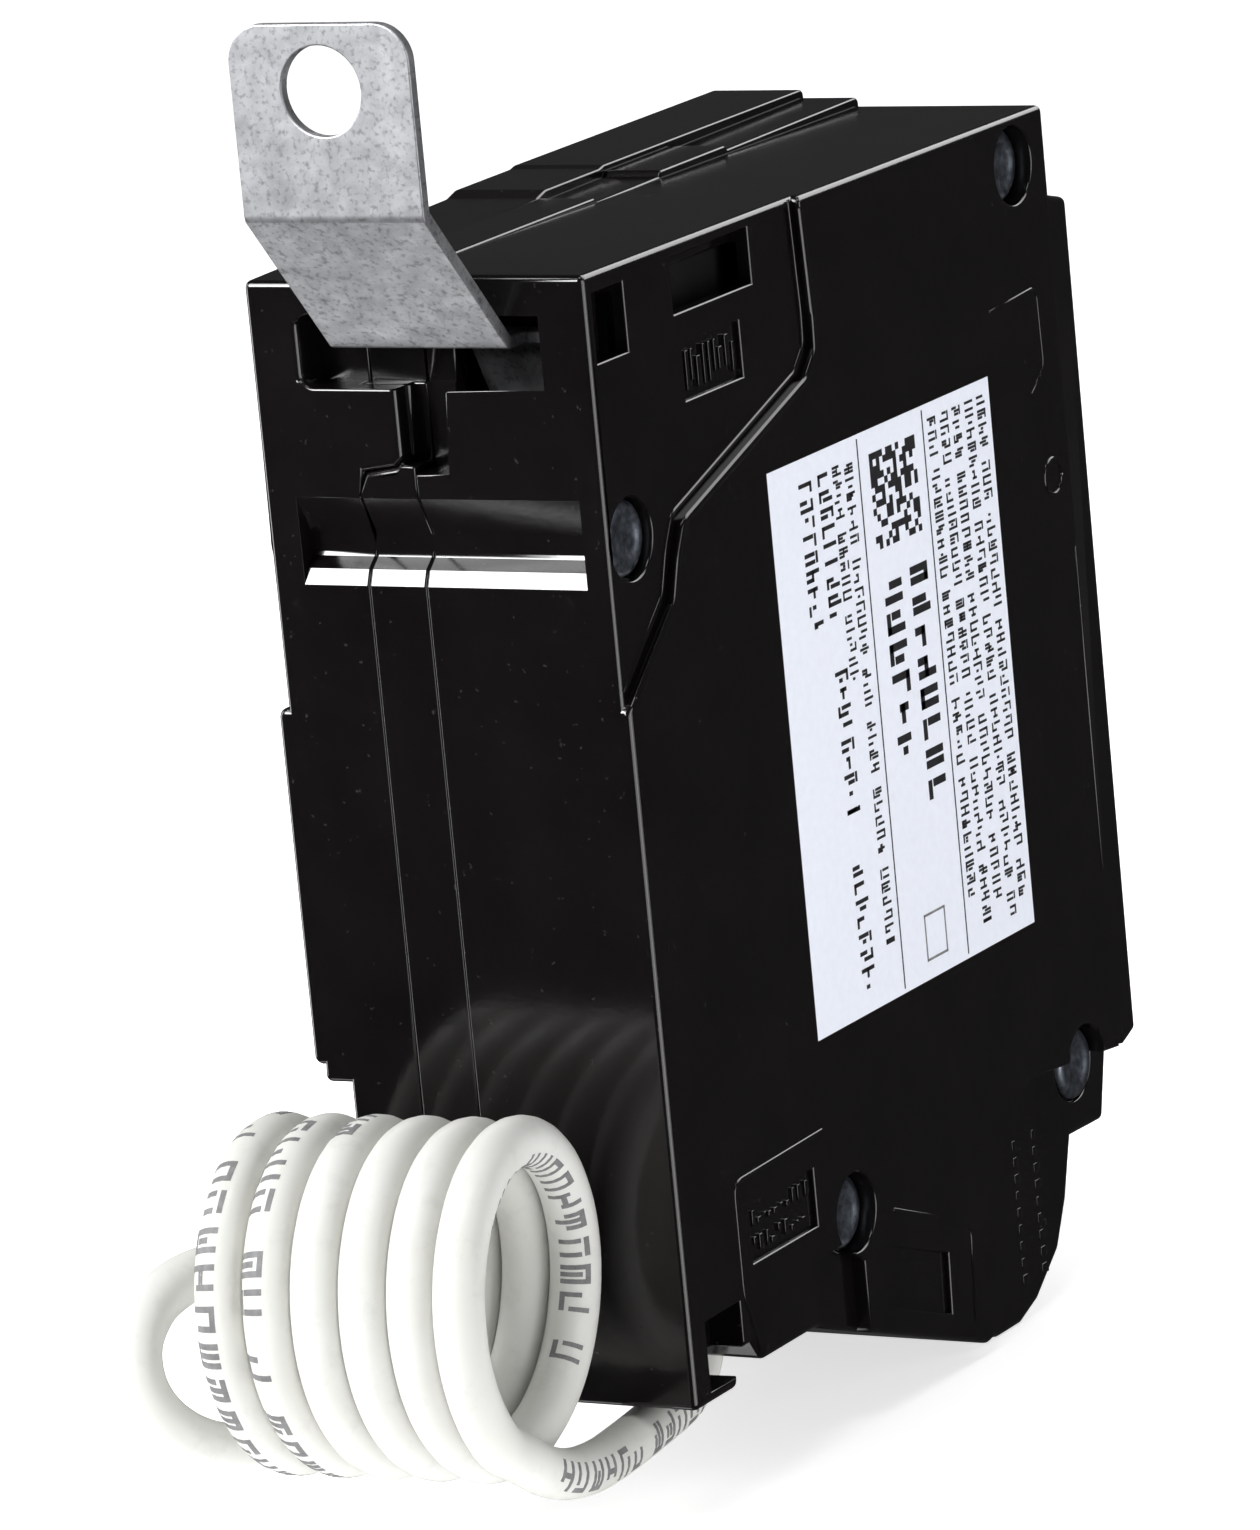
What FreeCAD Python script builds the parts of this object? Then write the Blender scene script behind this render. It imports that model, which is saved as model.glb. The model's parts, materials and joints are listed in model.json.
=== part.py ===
"""Single-pole bolt-on circuit breaker with a coiled neutral lead.

Millimetres. The breaker stands with its line end up: +Z runs from the load end to the line end,
+Y from the base to the handle side, and +X is the wide face that carries the label.
Outlines are written from the case corner where the base meets the line end, at the middle of the
width. Each sub-part's Placement then moves it to the row's origin, the line tab's bolt hole.
"""

import FreeCAD
import Part
import math
import os
import Sketcher

Vector = FreeCAD.Vector
doc = FreeCAD.newDocument("circuit_breaker")

# ---------------------------------------------------------------- driving dimensions

DIMENSIONS = [
    # the case
    ("pole_width", 25.4),
    ("case_depth", 60.8),
    ("escutcheon_front", 64.1),
    ("case_length", 79.5),
    ("leg_length", 71.7),
    ("left_split", 5.05),
    ("right_split", 0.95),
    ("web_left", 2.4),
    ("web_right", 1.4),
    ("line_side_inset", 0.5),
    ("skirt_inset", 1.2),
    ("label_thickness", 0.12),
    ("groove_depth", 1.3),
    ("lip_depth", 1.6),
    # the line tab
    ("tab_width", 12.7),
    ("tab_thickness", 0.8),
    ("tab_hole_radius", 2.78),
    ("tab_hole_height", 12.8),
    ("tab_reach", 8.0),
    ("tab_top", 16.9),
    ("tab_corner", 2.4),
    ("strap_width", 6.2),
    # rivets
    ("rivet_radius", 1.4),
    ("rivet_head_radius", 2.4),
    ("rivet_head", 0.9),
    ("rivet_well_radius", 2.6),
    ("rivet_well_depth", 1.3),
    # handle and contact mechanism
    ("handle_axis_y", 53.0),
    ("handle_axis_z", -25.0),
    ("drum_radius", 9.6),
    ("handle_tip", 75.0),
    ("handle_angle", 25.0),
    ("pin_radius", 1.5),
    ("armature_pin_radius", 0.9),
    ("running_gap", 0.05),
    ("arm_axis_y", 37.5),
    ("arm_axis_z", -28.0),
    ("arm_open_angle", 16.0),
    ("cradle_axis_y", 47.0),
    ("cradle_axis_z", -44.0),
    ("armature_axis_y", 14.5),
    ("armature_axis_z", -34.5),
    # terminals
    ("load_screw_x", 5.5),
    ("neutral_screw_x", -6.8),
    ("screw_z", -72.0),
    ("wire_y", 42.6),
    ("wire_radius", 1.9),
    ("screw_radius", 2.4),
    ("screw_head_radius", 3.4),
    ("screw_well_radius", 3.7),
    # neutral lead
    ("lead_radius", 1.6),
    ("coil_radius", 9.6),
    ("coil_pitch", 3.25),
    ("coil_start_x", 9.6),
    ("coil_y", -12.0),
    ("coil_z", -61.3),
    ("coil_turns", 6.0),
]


class Size:
    """A length from the sheet: its number, and the expression that binds it to its cell."""

    def __init__(self, value, text):
        self.value = float(value)
        self.text = text

    def join(self, other, sign):
        other = size(other)
        results = {
            "+": self.value + other.value,
            "-": self.value - other.value,
            "*": self.value * other.value,
        }
        return Size(results[sign], f"({self.text} {sign} {other.text})")

    def __add__(self, other):
        return self.join(other, "+")

    def __sub__(self, other):
        return self.join(other, "-")

    def __mul__(self, other):
        return self.join(other, "*")

    def __neg__(self):
        return size(0).join(self, "-")

    def __radd__(self, other):
        return size(other).join(self, "+")

    def __rsub__(self, other):
        return size(other).join(self, "-")


def size(value):
    if isinstance(value, Size):
        return value
    return Size(value, f"({float(value):.4f})")


def write_sheet():
    sheet = doc.addObject("Spreadsheet::Sheet", "Sizes")
    cells = {}
    for row, (alias, value) in enumerate(DIMENSIONS, start=1):
        sheet.set(f"A{row}", alias)
        sheet.set(f"B{row}", str(value))
        sheet.setAlias(f"B{row}", alias)
        cells[alias] = Size(value, f"Sizes.{alias}")
    doc.recompute()
    return cells


D = write_sheet()

# the case's main planes, from the base corner of the line end
LEFT = -D["pole_width"] * 0.5
RIGHT = D["pole_width"] * 0.5
LEFT_PLATE = LEFT + 0.7
SPLIT_LEFT = -D["left_split"]
SPLIT_RIGHT = -D["right_split"]
WEB_LEFT = -D["web_left"]
WEB_RIGHT = -D["web_right"]
FRONT = D["case_depth"]
ESCUTCHEON = D["escutcheon_front"]
BOTTOM = -D["case_length"]
LEG = -D["leg_length"]
RIGHT_CAVITY = RIGHT - 1.5
LEFT_CAVITY = LEFT + 2.0
LEFT_CAVITY_LOW = LEFT + 3.7
RIVETS = [(56.0, -3.6), (3.0, -16.9), (55.8, -64.4), (22.5, -65.2)]

SUBPARTS = []

# ---------------------------------------------------------------- modelling helpers


def bind(feature, field, value):
    value = size(value)
    feature.setExpression(field, value.text)


def seat(feature, angle=0.0, axis_y=0.0, axis_z=0.0):
    """Move a sub-part from the case corner to the row's origin, turned about an X axis first."""
    turn = FreeCAD.Rotation(Vector(1, 0, 0), angle)
    centre = Vector(0, axis_y, axis_z)
    shift = Vector(0, D["tab_reach"].value, -D["tab_hole_height"].value)
    feature.Placement = FreeCAD.Placement(centre - turn.multVec(centre) + shift, turn)


def new_body(label):
    body = doc.addObject("PartDesign::Body", label)
    body.Label = label
    SUBPARTS.append(body)
    return body


def origin_plane(body, role):
    for feature in body.Origin.OriginFeatures:
        if feature.Role == role:
            return feature
    raise ValueError(role)


def draw_polygon(drawing, points):
    points = [(size(a), size(b)) for a, b in points]
    corners = [Vector(a.value, b.value, 0) for a, b in points]
    lines = [Part.LineSegment(c, corners[(i + 1) % len(corners)]) for i, c in enumerate(corners)]
    first = drawing.GeometryCount
    drawing.addGeometry(lines, False)
    for i, (a, b) in enumerate(points):
        line = first + i
        following = first + (i + 1) % len(points)
        drawing.addConstraint(Sketcher.Constraint("Coincident", line, 2, following, 1))
        for kind, place in (("DistanceX", a), ("DistanceY", b)):
            index = drawing.addConstraint(Sketcher.Constraint(kind, -1, 1, line, 1, place.value))
            drawing.setExpression(f"Constraints[{index}]", place.text)


def draw_circle(drawing, centre_a, centre_b, radius):
    a, b, r = size(centre_a), size(centre_b), size(radius)
    circle = drawing.addGeometry(Part.Circle(Vector(a.value, b.value, 0), Vector(0, 0, 1), r.value))
    limits = [
        (Sketcher.Constraint("DistanceX", -1, 1, circle, 3, a.value), a),
        (Sketcher.Constraint("DistanceY", -1, 1, circle, 3, b.value), b),
        (Sketcher.Constraint("Radius", circle, r.value), r),
    ]
    for constraint, place in limits:
        index = drawing.addConstraint(constraint)
        drawing.setExpression(f"Constraints[{index}]", place.text)


def rectangle(a_low, a_high, b_low, b_high):
    return [(a_low, b_low), (a_high, b_low), (a_high, b_high), (a_low, b_high)]


def draw(body, plane, level, outlines):
    """A sketch on one of the body's planes: each outline is a point list or (a, b, radius)."""
    drawing = body.newObject("Sketcher::SketchObject", body.Name + "_sketch")
    drawing.AttachmentSupport = (origin_plane(body, plane + "_Plane"), [""])
    drawing.MapMode = "FlatFace"
    level = size(level)
    bind(drawing, "AttachmentOffset.Base.z", -level if plane == "XZ" else level)
    for outline in outlines:
        if isinstance(outline, tuple):
            draw_circle(drawing, *outline)
        else:
            draw_polygon(drawing, outline)
    return drawing


def pad(body, plane, low, high, *outlines):
    start = high if plane == "XZ" else low
    feature = body.newObject("PartDesign::Pad", body.Name + "_pad")
    feature.Profile = draw(body, plane, start, outlines)
    bind(feature, "Length", size(high) - low)
    return feature


def pocket(body, plane, low, high, *outlines):
    start = low if plane == "XZ" else high
    feature = body.newObject("PartDesign::Pocket", body.Name + "_pocket")
    feature.Profile = draw(body, plane, start, outlines)
    bind(feature, "Length", size(high) - low)
    return feature


def round_edges(body, radius, wanted, direction):
    """Fillet the edges that run along one axis through the wanted places."""
    doc.recompute()
    base = body.Tip
    names = []
    for number, edge in enumerate(base.Shape.Edges, start=1):
        if len(edge.Vertexes) != 2:
            continue
        run = edge.Vertexes[1].Point - edge.Vertexes[0].Point
        if run.Length < 1e-6 or abs(run.normalize().dot(direction)) < 0.999:
            continue
        middle = edge.CenterOfMass
        for place in wanted:
            gap = [abs(middle[i] - place[i]) for i in range(3) if place[i] is not None]
            if max(gap) < 0.06:
                names.append(f"Edge{number}")
                break
    if not names:
        raise ValueError(f"{body.Label}: no edge to round")
    feature = body.newObject("PartDesign::Fillet", body.Name + "_round")
    feature.Base = (base, names)
    bind(feature, "Radius", radius)
    doc.recompute()
    return feature


def block(label, x, y, z):
    """A rectangular piece between the given limits."""
    body = new_body(label)
    pad(body, "XY", z[0], z[1], rectangle(x[0], x[1], y[0], y[1]))
    seat(body)
    return body


def cylinder_between(start, end, radius):
    along = end - start
    return Part.makeCylinder(radius, along.Length, start, along)


def feature_from(label, shape, **turn):
    feature = doc.addObject("Part::Feature", label)
    feature.Label = label
    feature.Shape = shape
    seat(feature, **turn)
    SUBPARTS.append(feature)
    return feature


def coil_spring(start, axis, length, radius, wire, turns):
    """A closed-end compression or tension spring wound about an axis from its start."""
    helix = Part.makeHelix((length - wire * 2) / turns, length - wire * 2, radius)
    helix.translate(Vector(0, 0, wire))
    section = Part.Wire(Part.Circle(Vector(radius, 0, wire), Vector(0, 1, 0), wire).toShape())
    spring = Part.Wire(helix.Edges).makePipeShell([section], True, True)
    place = FreeCAD.Placement(start, FreeCAD.Rotation(Vector(0, 0, 1), axis))
    return spring.transformed(place.toMatrix(), copy=True)


# ---------------------------------------------------------------- case

LEFT_TOP = [(0, -0.4), (24.8, 0.1), (26.0, 0.45), (33.0, 0.5), (33.6, 0.65), (FRONT, 0.75)]
MIDDLE_TOP = [(0, 0), (25.0, 0.1), (25.3, -0.2), (33.4, -0.1), (33.7, 0.25), (42.3, 0.3), (42.6, 0.0),
              (FRONT, 0.2)]
RIGHT_TOP = [(0, 0), (FRONT, -0.4)]
CASE_SIDES = [
    (FRONT, -6.4),
    (ESCUTCHEON, -7.2),
    (ESCUTCHEON, -64.2),
    (FRONT, -65.0),
    (FRONT - 1.2, -69.3),
    (54.8, -69.2),
    (53.4, -73.1),
    (51.7, -76.1),
    (48.2, -78.6),
    (45.6, BOTTOM),
    (42.4, BOTTOM),
    (38.5, -78.7),
    (16.1, -71.0),
    (9.0, -71.0),
    (7.9, -69.5),
    (5.9, -69.5),
    (5.4, LEG),
    (0, LEG),
]
CAVITY_FRONT = ESCUTCHEON - 2.2
CAVITY_TOP = [(4.0, -2.0), (51.5, -2.0), (51.5, -7.5), (58.0, -8.3), (CAVITY_FRONT, -9.0)]
CAVITY_FLOOR = [(CAVITY_FRONT, -60.5), (52.0, -60.5), (50.0, -63.5), (28.0, -63.5), (26.0, -61.0),
                (19.0, -61.0), (17.0, -67.0), (4.0, -67.0)]
CAVITY_BUMP = [(4.0, -20.6), (6.2, -20.6), (6.2, -13.4), (4.0, -13.4)]
CAVITY = CAVITY_TOP + CAVITY_FLOOR + CAVITY_BUMP
UPPER_CHAMBER = CAVITY_TOP + [(CAVITY_FRONT, -50.0), (4.0, -50.0)] + CAVITY_BUMP
LOWER_CHAMBER = [(4.0, -49.5), (CAVITY_FRONT, -49.5)] + CAVITY_FLOOR
TERMINAL_BAY = [(38.0, -76.3), (48.8, -76.3), (48.8, -67.7), (40.9, -67.7), (40.9, -62.5), (39.3, -62.5),
                (39.3, -67.7), (38.0, -67.7)]
GROOVE = [(-0.5, -13.6), (0.1, -14.0), (D["groove_depth"], -16.4), (D["groove_depth"], -17.65),
          (D["groove_depth"] - 0.1, -17.9), (0.42, -18.55), (-0.1, -19.73), (-0.5, -19.9)]
LABEL = rectangle(19.5, 49.9, -53.1, -16.4)
LINE_SIDE_STEP = [(-1, 1), (26.8, 1), (27.3, -10.0), (25.7, -11.6), (8.6, -17.0), (7.5, -19.0), (6.5, -21.8),
                  (-1, -27.8)]
SKIRT_STEP = [(62.0, -64.6), (47.8, -63.2), (45.6, -63.8), (44.5, -65.6), (39.0, -79.2), (39.0, -81.0),
              (62.0, -81.0)]
STRAP_PASSAGE = [(0.0, -2.5), (2.6, -2.5), (9.0, -9.8), (7.0, -13.4), (4.6, -12.0), (0.0, -7.1)]
LINE_WINDOWS = [rectangle(1.0, 4.8, -5.6, -1.3), rectangle(10.8, 20.8, -4.5, -1.0)]
LINE_TAG = rectangle(11.3, 18.7, -10.0, -6.5)
LOAD_TAG = rectangle(8.8, 17.4, -64.6, -60.9)
LEFT_LIP = [(-1.8, -11.5), (-2.4, -12.0), (-4.6, -12.35)]
SKIRT_PANEL = [(26.8, -68.7), (34.2, -71.3), (34.0, -75.3), (25.6, -72.4)]
LOAD_SLOT = rectangle(2.1, 6.6, -71.0, -66.5)
LOAD_POCKET = [(16.6, -66.8), (20.5, -66.8), (23.0, -68.6), (23.0, -75.0), (16.6, -75.0)]
PIN_BORES = [
    (D["handle_axis_y"], D["handle_axis_z"], D["pin_radius"] + 0.02),
    (D["arm_axis_y"], D["arm_axis_z"], D["pin_radius"] + 0.02),
    (D["cradle_axis_y"], D["cradle_axis_z"], D["pin_radius"] + 0.02),
    (D["armature_axis_y"], D["armature_axis_z"], D["armature_pin_radius"] + 0.02),
]


def rivet_holes(body, low, high):
    holes = [(y, z, D["rivet_radius"] + 0.1) for y, z in RIVETS]
    pocket(body, "YZ", low, high, *holes)


def tab_recess(body, x_low, x_high):
    pocket(body, "XZ", -0.5, 2.6, rectangle(x_low, x_high, -7.1, -2.5))


def case_left_shell():
    body = new_body("case_left_shell")
    pad(body, "YZ", LEFT_PLATE, SPLIT_LEFT, LEFT_TOP + CASE_SIDES)
    pad(body, "XZ", 0, D["lip_depth"], [(SPLIT_LEFT, -0.4), (-1.8, -0.4)] + LEFT_LIP + [(SPLIT_LEFT, -13.5)])
    pad(body, "YZ", LEFT, LEFT_PLATE + 0.4, rectangle(0, 46.0, -50.5, -27.5))
    round_edges(body, 2.6, [(None, 46.0, -50.5), (None, 46.0, -27.5)], Vector(1, 0, 0))
    round_edges(body, 0.6, [(LEFT.value, None, -50.5)], Vector(0, 1, 0))
    pocket(body, "YZ", LEFT - 1, LEFT + 2.5, rectangle(-1, 27.0, -73, -51.6))
    pocket(body, "YZ", LEFT_CAVITY, SPLIT_LEFT, UPPER_CHAMBER)
    pocket(body, "YZ", LEFT_CAVITY_LOW, SPLIT_LEFT, LOWER_CHAMBER)
    pocket(body, "YZ", LEFT_CAVITY, SPLIT_LEFT, TERMINAL_BAY)
    pocket(body, "YZ", LEFT + 3, SPLIT_LEFT, GROOVE)
    tab_recess(body, -8.5, -1.8)
    round_edges(body, 0.9, [(-8.5, None, -2.5), (-8.5, None, -7.1)], Vector(0, 1, 0))
    rivet_holes(body, LEFT - 1, SPLIT_LEFT)
    wells = [(y, z, D["rivet_well_radius"]) for y, z in RIVETS[:3]]
    pocket(body, "YZ", LEFT_PLATE - 1, LEFT_PLATE + D["rivet_well_depth"], *wells)
    pocket(body, "YZ", LEFT - 1, LEFT_PLATE + 2.9, (*RIVETS[3], D["rivet_well_radius"]))
    neutral_terminal_bores(body)
    test_button_bore(body)
    light_pipe_bore(body)
    seat(body)
    return body


def neutral_terminal_bores(body):
    x = D["neutral_screw_x"]
    pocket(body, "XZ", 47.0, 62.0, (x, D["screw_z"], D["screw_well_radius"]))
    pocket(body, "XY", BOTTOM - 1, -75.0, (x, D["wire_y"], D["wire_radius"] + 0.7))


def load_terminal_bores(body):
    x = D["load_screw_x"]
    pocket(body, "XZ", 47.0, 62.0, (x, D["screw_z"], D["screw_well_radius"]))
    pocket(body, "XY", BOTTOM - 1, -75.0, (x, D["wire_y"], D["wire_radius"] + 0.7))


def test_button_bore(body):
    pocket(body, "XZ", ESCUTCHEON - 3, ESCUTCHEON + 1, rectangle(-9.3, -2.9, -49.2, -41.8))


def light_pipe_bore(body):
    pocket(body, "XZ", ESCUTCHEON - 3, ESCUTCHEON + 1, (-6.5, -54.5, 1.3))


def case_middle_frame():
    body = new_body("case_middle_frame")
    pad(body, "YZ", SPLIT_LEFT, SPLIT_RIGHT, MIDDLE_TOP + CASE_SIDES)
    pocket(body, "YZ", SPLIT_LEFT, WEB_LEFT, CAVITY)
    pocket(body, "YZ", SPLIT_LEFT, WEB_LEFT, TERMINAL_BAY)
    pocket(body, "YZ", WEB_RIGHT, SPLIT_RIGHT, CAVITY)
    pocket(body, "YZ", SPLIT_LEFT, SPLIT_RIGHT, GROOVE)
    pocket(body, "YZ", WEB_LEFT, WEB_RIGHT, rectangle(10.6, 14.4, -66.6, -63.9),
           rectangle(35.0, 37.0, -49.4, -45.6), rectangle(29.0, 32.0, -53.5, -51.0))
    lip_place = [(-7, 1), (-1.8, 1)] + LEFT_LIP + [(SPLIT_LEFT, -13.5), (-7, -13.5)]
    pocket(body, "XZ", -0.5, D["lip_depth"], lip_place)
    tab_recess(body, SPLIT_LEFT, SPLIT_RIGHT)
    pocket(body, "XZ", -0.5, 2.4, rectangle(-1.8, SPLIT_RIGHT, -11.9, -6.8))
    rivet_holes(body, SPLIT_LEFT, SPLIT_RIGHT)
    pocket(body, "YZ", WEB_LEFT, SPLIT_RIGHT, *PIN_BORES)
    neutral_terminal_bores(body)
    test_button_bore(body)
    seat(body)
    return body


def case_right_shell():
    body = new_body("case_right_shell")
    pad(body, "YZ", SPLIT_RIGHT, RIGHT, RIGHT_TOP + CASE_SIDES)
    pocket(body, "YZ", RIGHT - D["line_side_inset"], RIGHT + 1, LINE_SIDE_STEP)
    pocket(body, "YZ", RIGHT - D["skirt_inset"], RIGHT + 1, SKIRT_STEP)
    pocket(body, "YZ", RIGHT - 0.5, RIGHT + 1, rectangle(FRONT, ESCUTCHEON + 1, -66.0, -6.0))
    pocket(body, "YZ", SPLIT_RIGHT, RIGHT_CAVITY, CAVITY)
    pocket(body, "YZ", SPLIT_RIGHT, RIGHT_CAVITY - 0.8, TERMINAL_BAY)
    pocket(body, "YZ", SPLIT_RIGHT, RIGHT - 2.2, GROOVE)
    tab_recess(body, SPLIT_RIGHT, 8.0)
    round_edges(body, 0.9, [(8.0, None, -2.5), (8.0, None, -7.1)], Vector(0, 1, 0))
    pocket(body, "XZ", -0.5, 2.4, rectangle(SPLIT_RIGHT, 1.5, -12.4, -6.8))
    pocket(body, "YZ", 1.2, 8.8, STRAP_PASSAGE)
    rivet_holes(body, SPLIT_RIGHT, RIGHT + 1)
    wells = [(y, z, D["rivet_well_radius"]) for y, z in RIVETS]
    pocket(body, "YZ", RIGHT - 0.5 - D["rivet_well_depth"], RIGHT + 1, *wells)
    pocket(body, "YZ", RIGHT - 2.0, RIGHT + 1, *LINE_WINDOWS)
    pocket(body, "YZ", RIGHT - 0.9, RIGHT + 1, LINE_TAG)
    pocket(body, "YZ", RIGHT - 0.4, RIGHT + 1, LOAD_TAG, SKIRT_PANEL)
    pocket(body, "YZ", RIGHT - 2.4, RIGHT + 1, LOAD_SLOT)
    pocket(body, "YZ", RIGHT - 1.0, RIGHT + 1, LOAD_POCKET)
    pocket(body, "XZ", ESCUTCHEON - 3, ESCUTCHEON + 1, rectangle(0.6, 10.4, -33.8, -16.2))
    pocket(body, "YZ", SPLIT_RIGHT, RIGHT_CAVITY + 0.8, *PIN_BORES)
    pocket(body, "XY", LEG - 2, -66.0, (6.5, 12.0, 2.6))
    pocket(body, "YZ", RIGHT - D["label_thickness"], RIGHT + 1, LABEL)
    load_terminal_bores(body)
    seat(body)
    return body


def case_rivets():
    low = LEFT_PLATE.value + D["rivet_well_depth"].value - D["rivet_head"].value
    high = RIGHT.value - 0.5 - D["rivet_well_depth"].value + D["rivet_head"].value
    rivets = []
    for number, (y, z) in enumerate(RIVETS):
        start = low + (1.6 if number == 3 else 0.0)
        shank = cylinder_between(Vector(start, y, z), Vector(high, y, z), D["rivet_radius"].value)
        for end, way in ((start, 1), (high, -1)):
            head = Part.makeCylinder(D["rivet_head_radius"].value, D["rivet_head"].value, Vector(end, y, z),
                                     Vector(way, 0, 0))
            rim = [edge for edge in head.Edges if abs(edge.CenterOfMass.x - end) < 1e-6]
            shank = shank.fuse(head.makeFillet(0.35, rim[:1]))
        rivets.append(shank.removeSplitter())
    return feature_from("case_rivets", Part.makeCompound(rivets))


def side_label():
    body = new_body("product_label")
    pad(body, "YZ", RIGHT - D["label_thickness"], RIGHT, LABEL)
    seat(body)
    return body


def front_label():
    body = new_body("front_label")
    pad(body, "XZ", ESCUTCHEON, ESCUTCHEON + D["label_thickness"], rectangle(-11.2, 11.2, -15.8, -8.6))
    seat(body)
    return body


# ---------------------------------------------------------------- line end

STRAP_LOW = 1.9


def line_terminal_tab():
    """The bolt-on tab, its slanted neck and the narrower strap that carries the fixed contact."""
    reach = D["tab_reach"].value
    thick = D["tab_thickness"].value
    body = new_body("line_terminal_tab")
    plate = [(-D["tab_reach"], 5.0), (-D["tab_reach"], D["tab_top"]),
             (D["tab_thickness"] - D["tab_reach"], D["tab_top"]), (D["tab_thickness"] - D["tab_reach"], 5.3),
             (0.83, -3.85), (2.2, -3.85), (2.2, -4.65), (0.44, -4.65), (-reach + 0.1, 4.75)]
    pad(body, "YZ", -D["tab_width"] * 0.5, D["tab_width"] * 0.5, plate)
    strap = [(2.2, -4.65), (2.2, -3.85), (3.6, -3.85), (7.7, -11.6), (7.7, -18.0), (6.9, -18.0),
             (6.9, -11.9), (3.1, -4.65)]
    pad(body, "YZ", STRAP_LOW, STRAP_LOW + D["strap_width"], strap)
    pocket(body, "XZ", -reach - 1, -reach + thick + 1, (0, D["tab_hole_height"], D["tab_hole_radius"]))
    half = D["tab_width"].value * 0.5
    round_edges(body, D["tab_corner"], [(half, None, D["tab_top"].value), (-half, None, D["tab_top"].value)],
                Vector(0, 1, 0))
    round_edges(body, 1.2, [(None, -reach, 5.0)], Vector(1, 0, 0))
    round_edges(body, 0.6, [(None, 0.44, -4.65)], Vector(1, 0, 0))
    seat(body)
    return body


def fixed_contact():
    shape = Part.makeCylinder(2.4, 1.2, Vector(5.0, 7.7, -15.2), Vector(0, 1, 0))
    return feature_from("fixed_contact", shape)


def arc_chute_plates():
    plates = []
    for y in (8.4, 11.2, 14.0, 16.8, 19.6):
        plate = Part.makeBox(7.6, 0.8, 7.0, Vector(1.2, y, -9.4))
        notch = Part.makeBox(5.6, 0.8, 4.8, Vector(2.2, y, -9.4))
        plates.append(plate.cut(notch))
    return feature_from("arc_chute_plates", Part.makeCompound(plates))


def arc_chute_walls():
    walls = [Part.makeBox(0.7, 15.0, 8.4, Vector(x, 6.8, -10.6)) for x in (0.4, 8.9)]
    return feature_from("arc_chute_walls", Part.makeCompound(walls))


# ---------------------------------------------------------------- handle and contact mechanism


def handle():
    """The drum and lever, drawn pointing straight out and then turned to the off position."""
    y, z = D["handle_axis_y"], D["handle_axis_z"]
    body = new_body("handle")
    pad(body, "YZ", 1.0, 10.0, (y, z, D["drum_radius"]))
    lever = [(y, z - 3.0), (D["handle_tip"], z - 1.9), (D["handle_tip"], z + 1.9), (y, z + 3.0)]
    pad(body, "YZ", 1.4, 6.0, lever)
    pocket(body, "YZ", 0.5, 10.5, (y, z, D["pin_radius"] + D["running_gap"]))
    tip = D["handle_tip"].value
    round_edges(body, 1.2, [(None, tip, z.value + 1.9), (None, tip, z.value - 1.9)], Vector(1, 0, 0))
    seat(body, -D["handle_angle"].value, y.value, z.value)
    return body


PIN_LOW = -2.2
PIN_HIGH = 11.8


def pins():
    """The three fixed axles that the handle, the contact arm and the cradle turn on."""
    radius = D["pin_radius"].value
    axles = []
    for owner in ("handle", "arm", "cradle"):
        y, z = D[owner + "_axis_y"].value, D[owner + "_axis_z"].value
        axles.append(cylinder_between(Vector(PIN_LOW, y, z), Vector(PIN_HIGH, y, z), radius))
    return feature_from("mechanism_pins", Part.makeCompound(axles))


def contact_arm():
    """The moving contact's arm, drawn closed and then swung open."""
    y, z = D["arm_axis_y"], D["arm_axis_z"]
    body = new_body("contact_arm")
    root = [(y - 1.5, z - 3.0), (y + 1.5, z - 3.0), (y + 3.1, z), (y + 1.5, z + 3.0), (y - 1.5, z + 3.4)]
    outline = [(10.1, -13.2), (10.1, -17.4), (20.0, -19.8)] + root + [(14.0, -13.0)]
    pad(body, "YZ", 4.0, 6.0, outline)
    pad(body, "YZ", 0.5, 4.0, (30.4, -25.3, 0.6))
    pocket(body, "YZ", 3.5, 6.5, (y, z, D["pin_radius"] + D["running_gap"]))
    seat(body, -D["arm_open_angle"].value, y.value, z.value)
    return body


def moving_contact():
    shape = Part.makeCylinder(2.2, 1.1, Vector(5.0, 9.0, -15.2), Vector(0, 1, 0))
    return feature_from("moving_contact", shape, angle=-D["arm_open_angle"].value,
                        axis_y=D["arm_axis_y"].value, axis_z=D["arm_axis_z"].value)


def cradle():
    """The latched lever that the main spring pulls up when the breaker trips."""
    y, z = D["cradle_axis_y"], D["cradle_axis_z"]
    body = new_body("trip_cradle")
    outline = [(y - 1.5, z + 3.2), (30.0, -39.8), (20.0, -43.6), (13.4, -44.2), (13.4, -46.4), (30.0, -44.8),
               (y - 1.5, z - 3.2), (y + 1.5, z - 3.2), (y + 3.2, z), (y + 1.5, z + 3.2)]
    pad(body, "YZ", 7.4, 8.8, outline)
    pad(body, "YZ", 0.5, 7.4, (31.5, -42.0, 0.7))
    pocket(body, "YZ", 7.0, 9.0, (y, z, D["pin_radius"] + D["running_gap"]))
    seat(body)
    return body


def main_spring():
    spring = coil_spring(Vector(2.2, 31.5, -41.2), Vector(0, 0, 1), 17.0, 1.3, 0.28, 14)
    return feature_from("main_spring", spring)


def bimetal():
    return block("bimetal_strip", (2.0, 9.0), (9.6, 10.4), (-60.0, -38.0))


def bimetal_bracket():
    return block("bimetal_bracket", (1.6, 9.4), (8.4, 9.6), (-65.0, -55.0))


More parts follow.
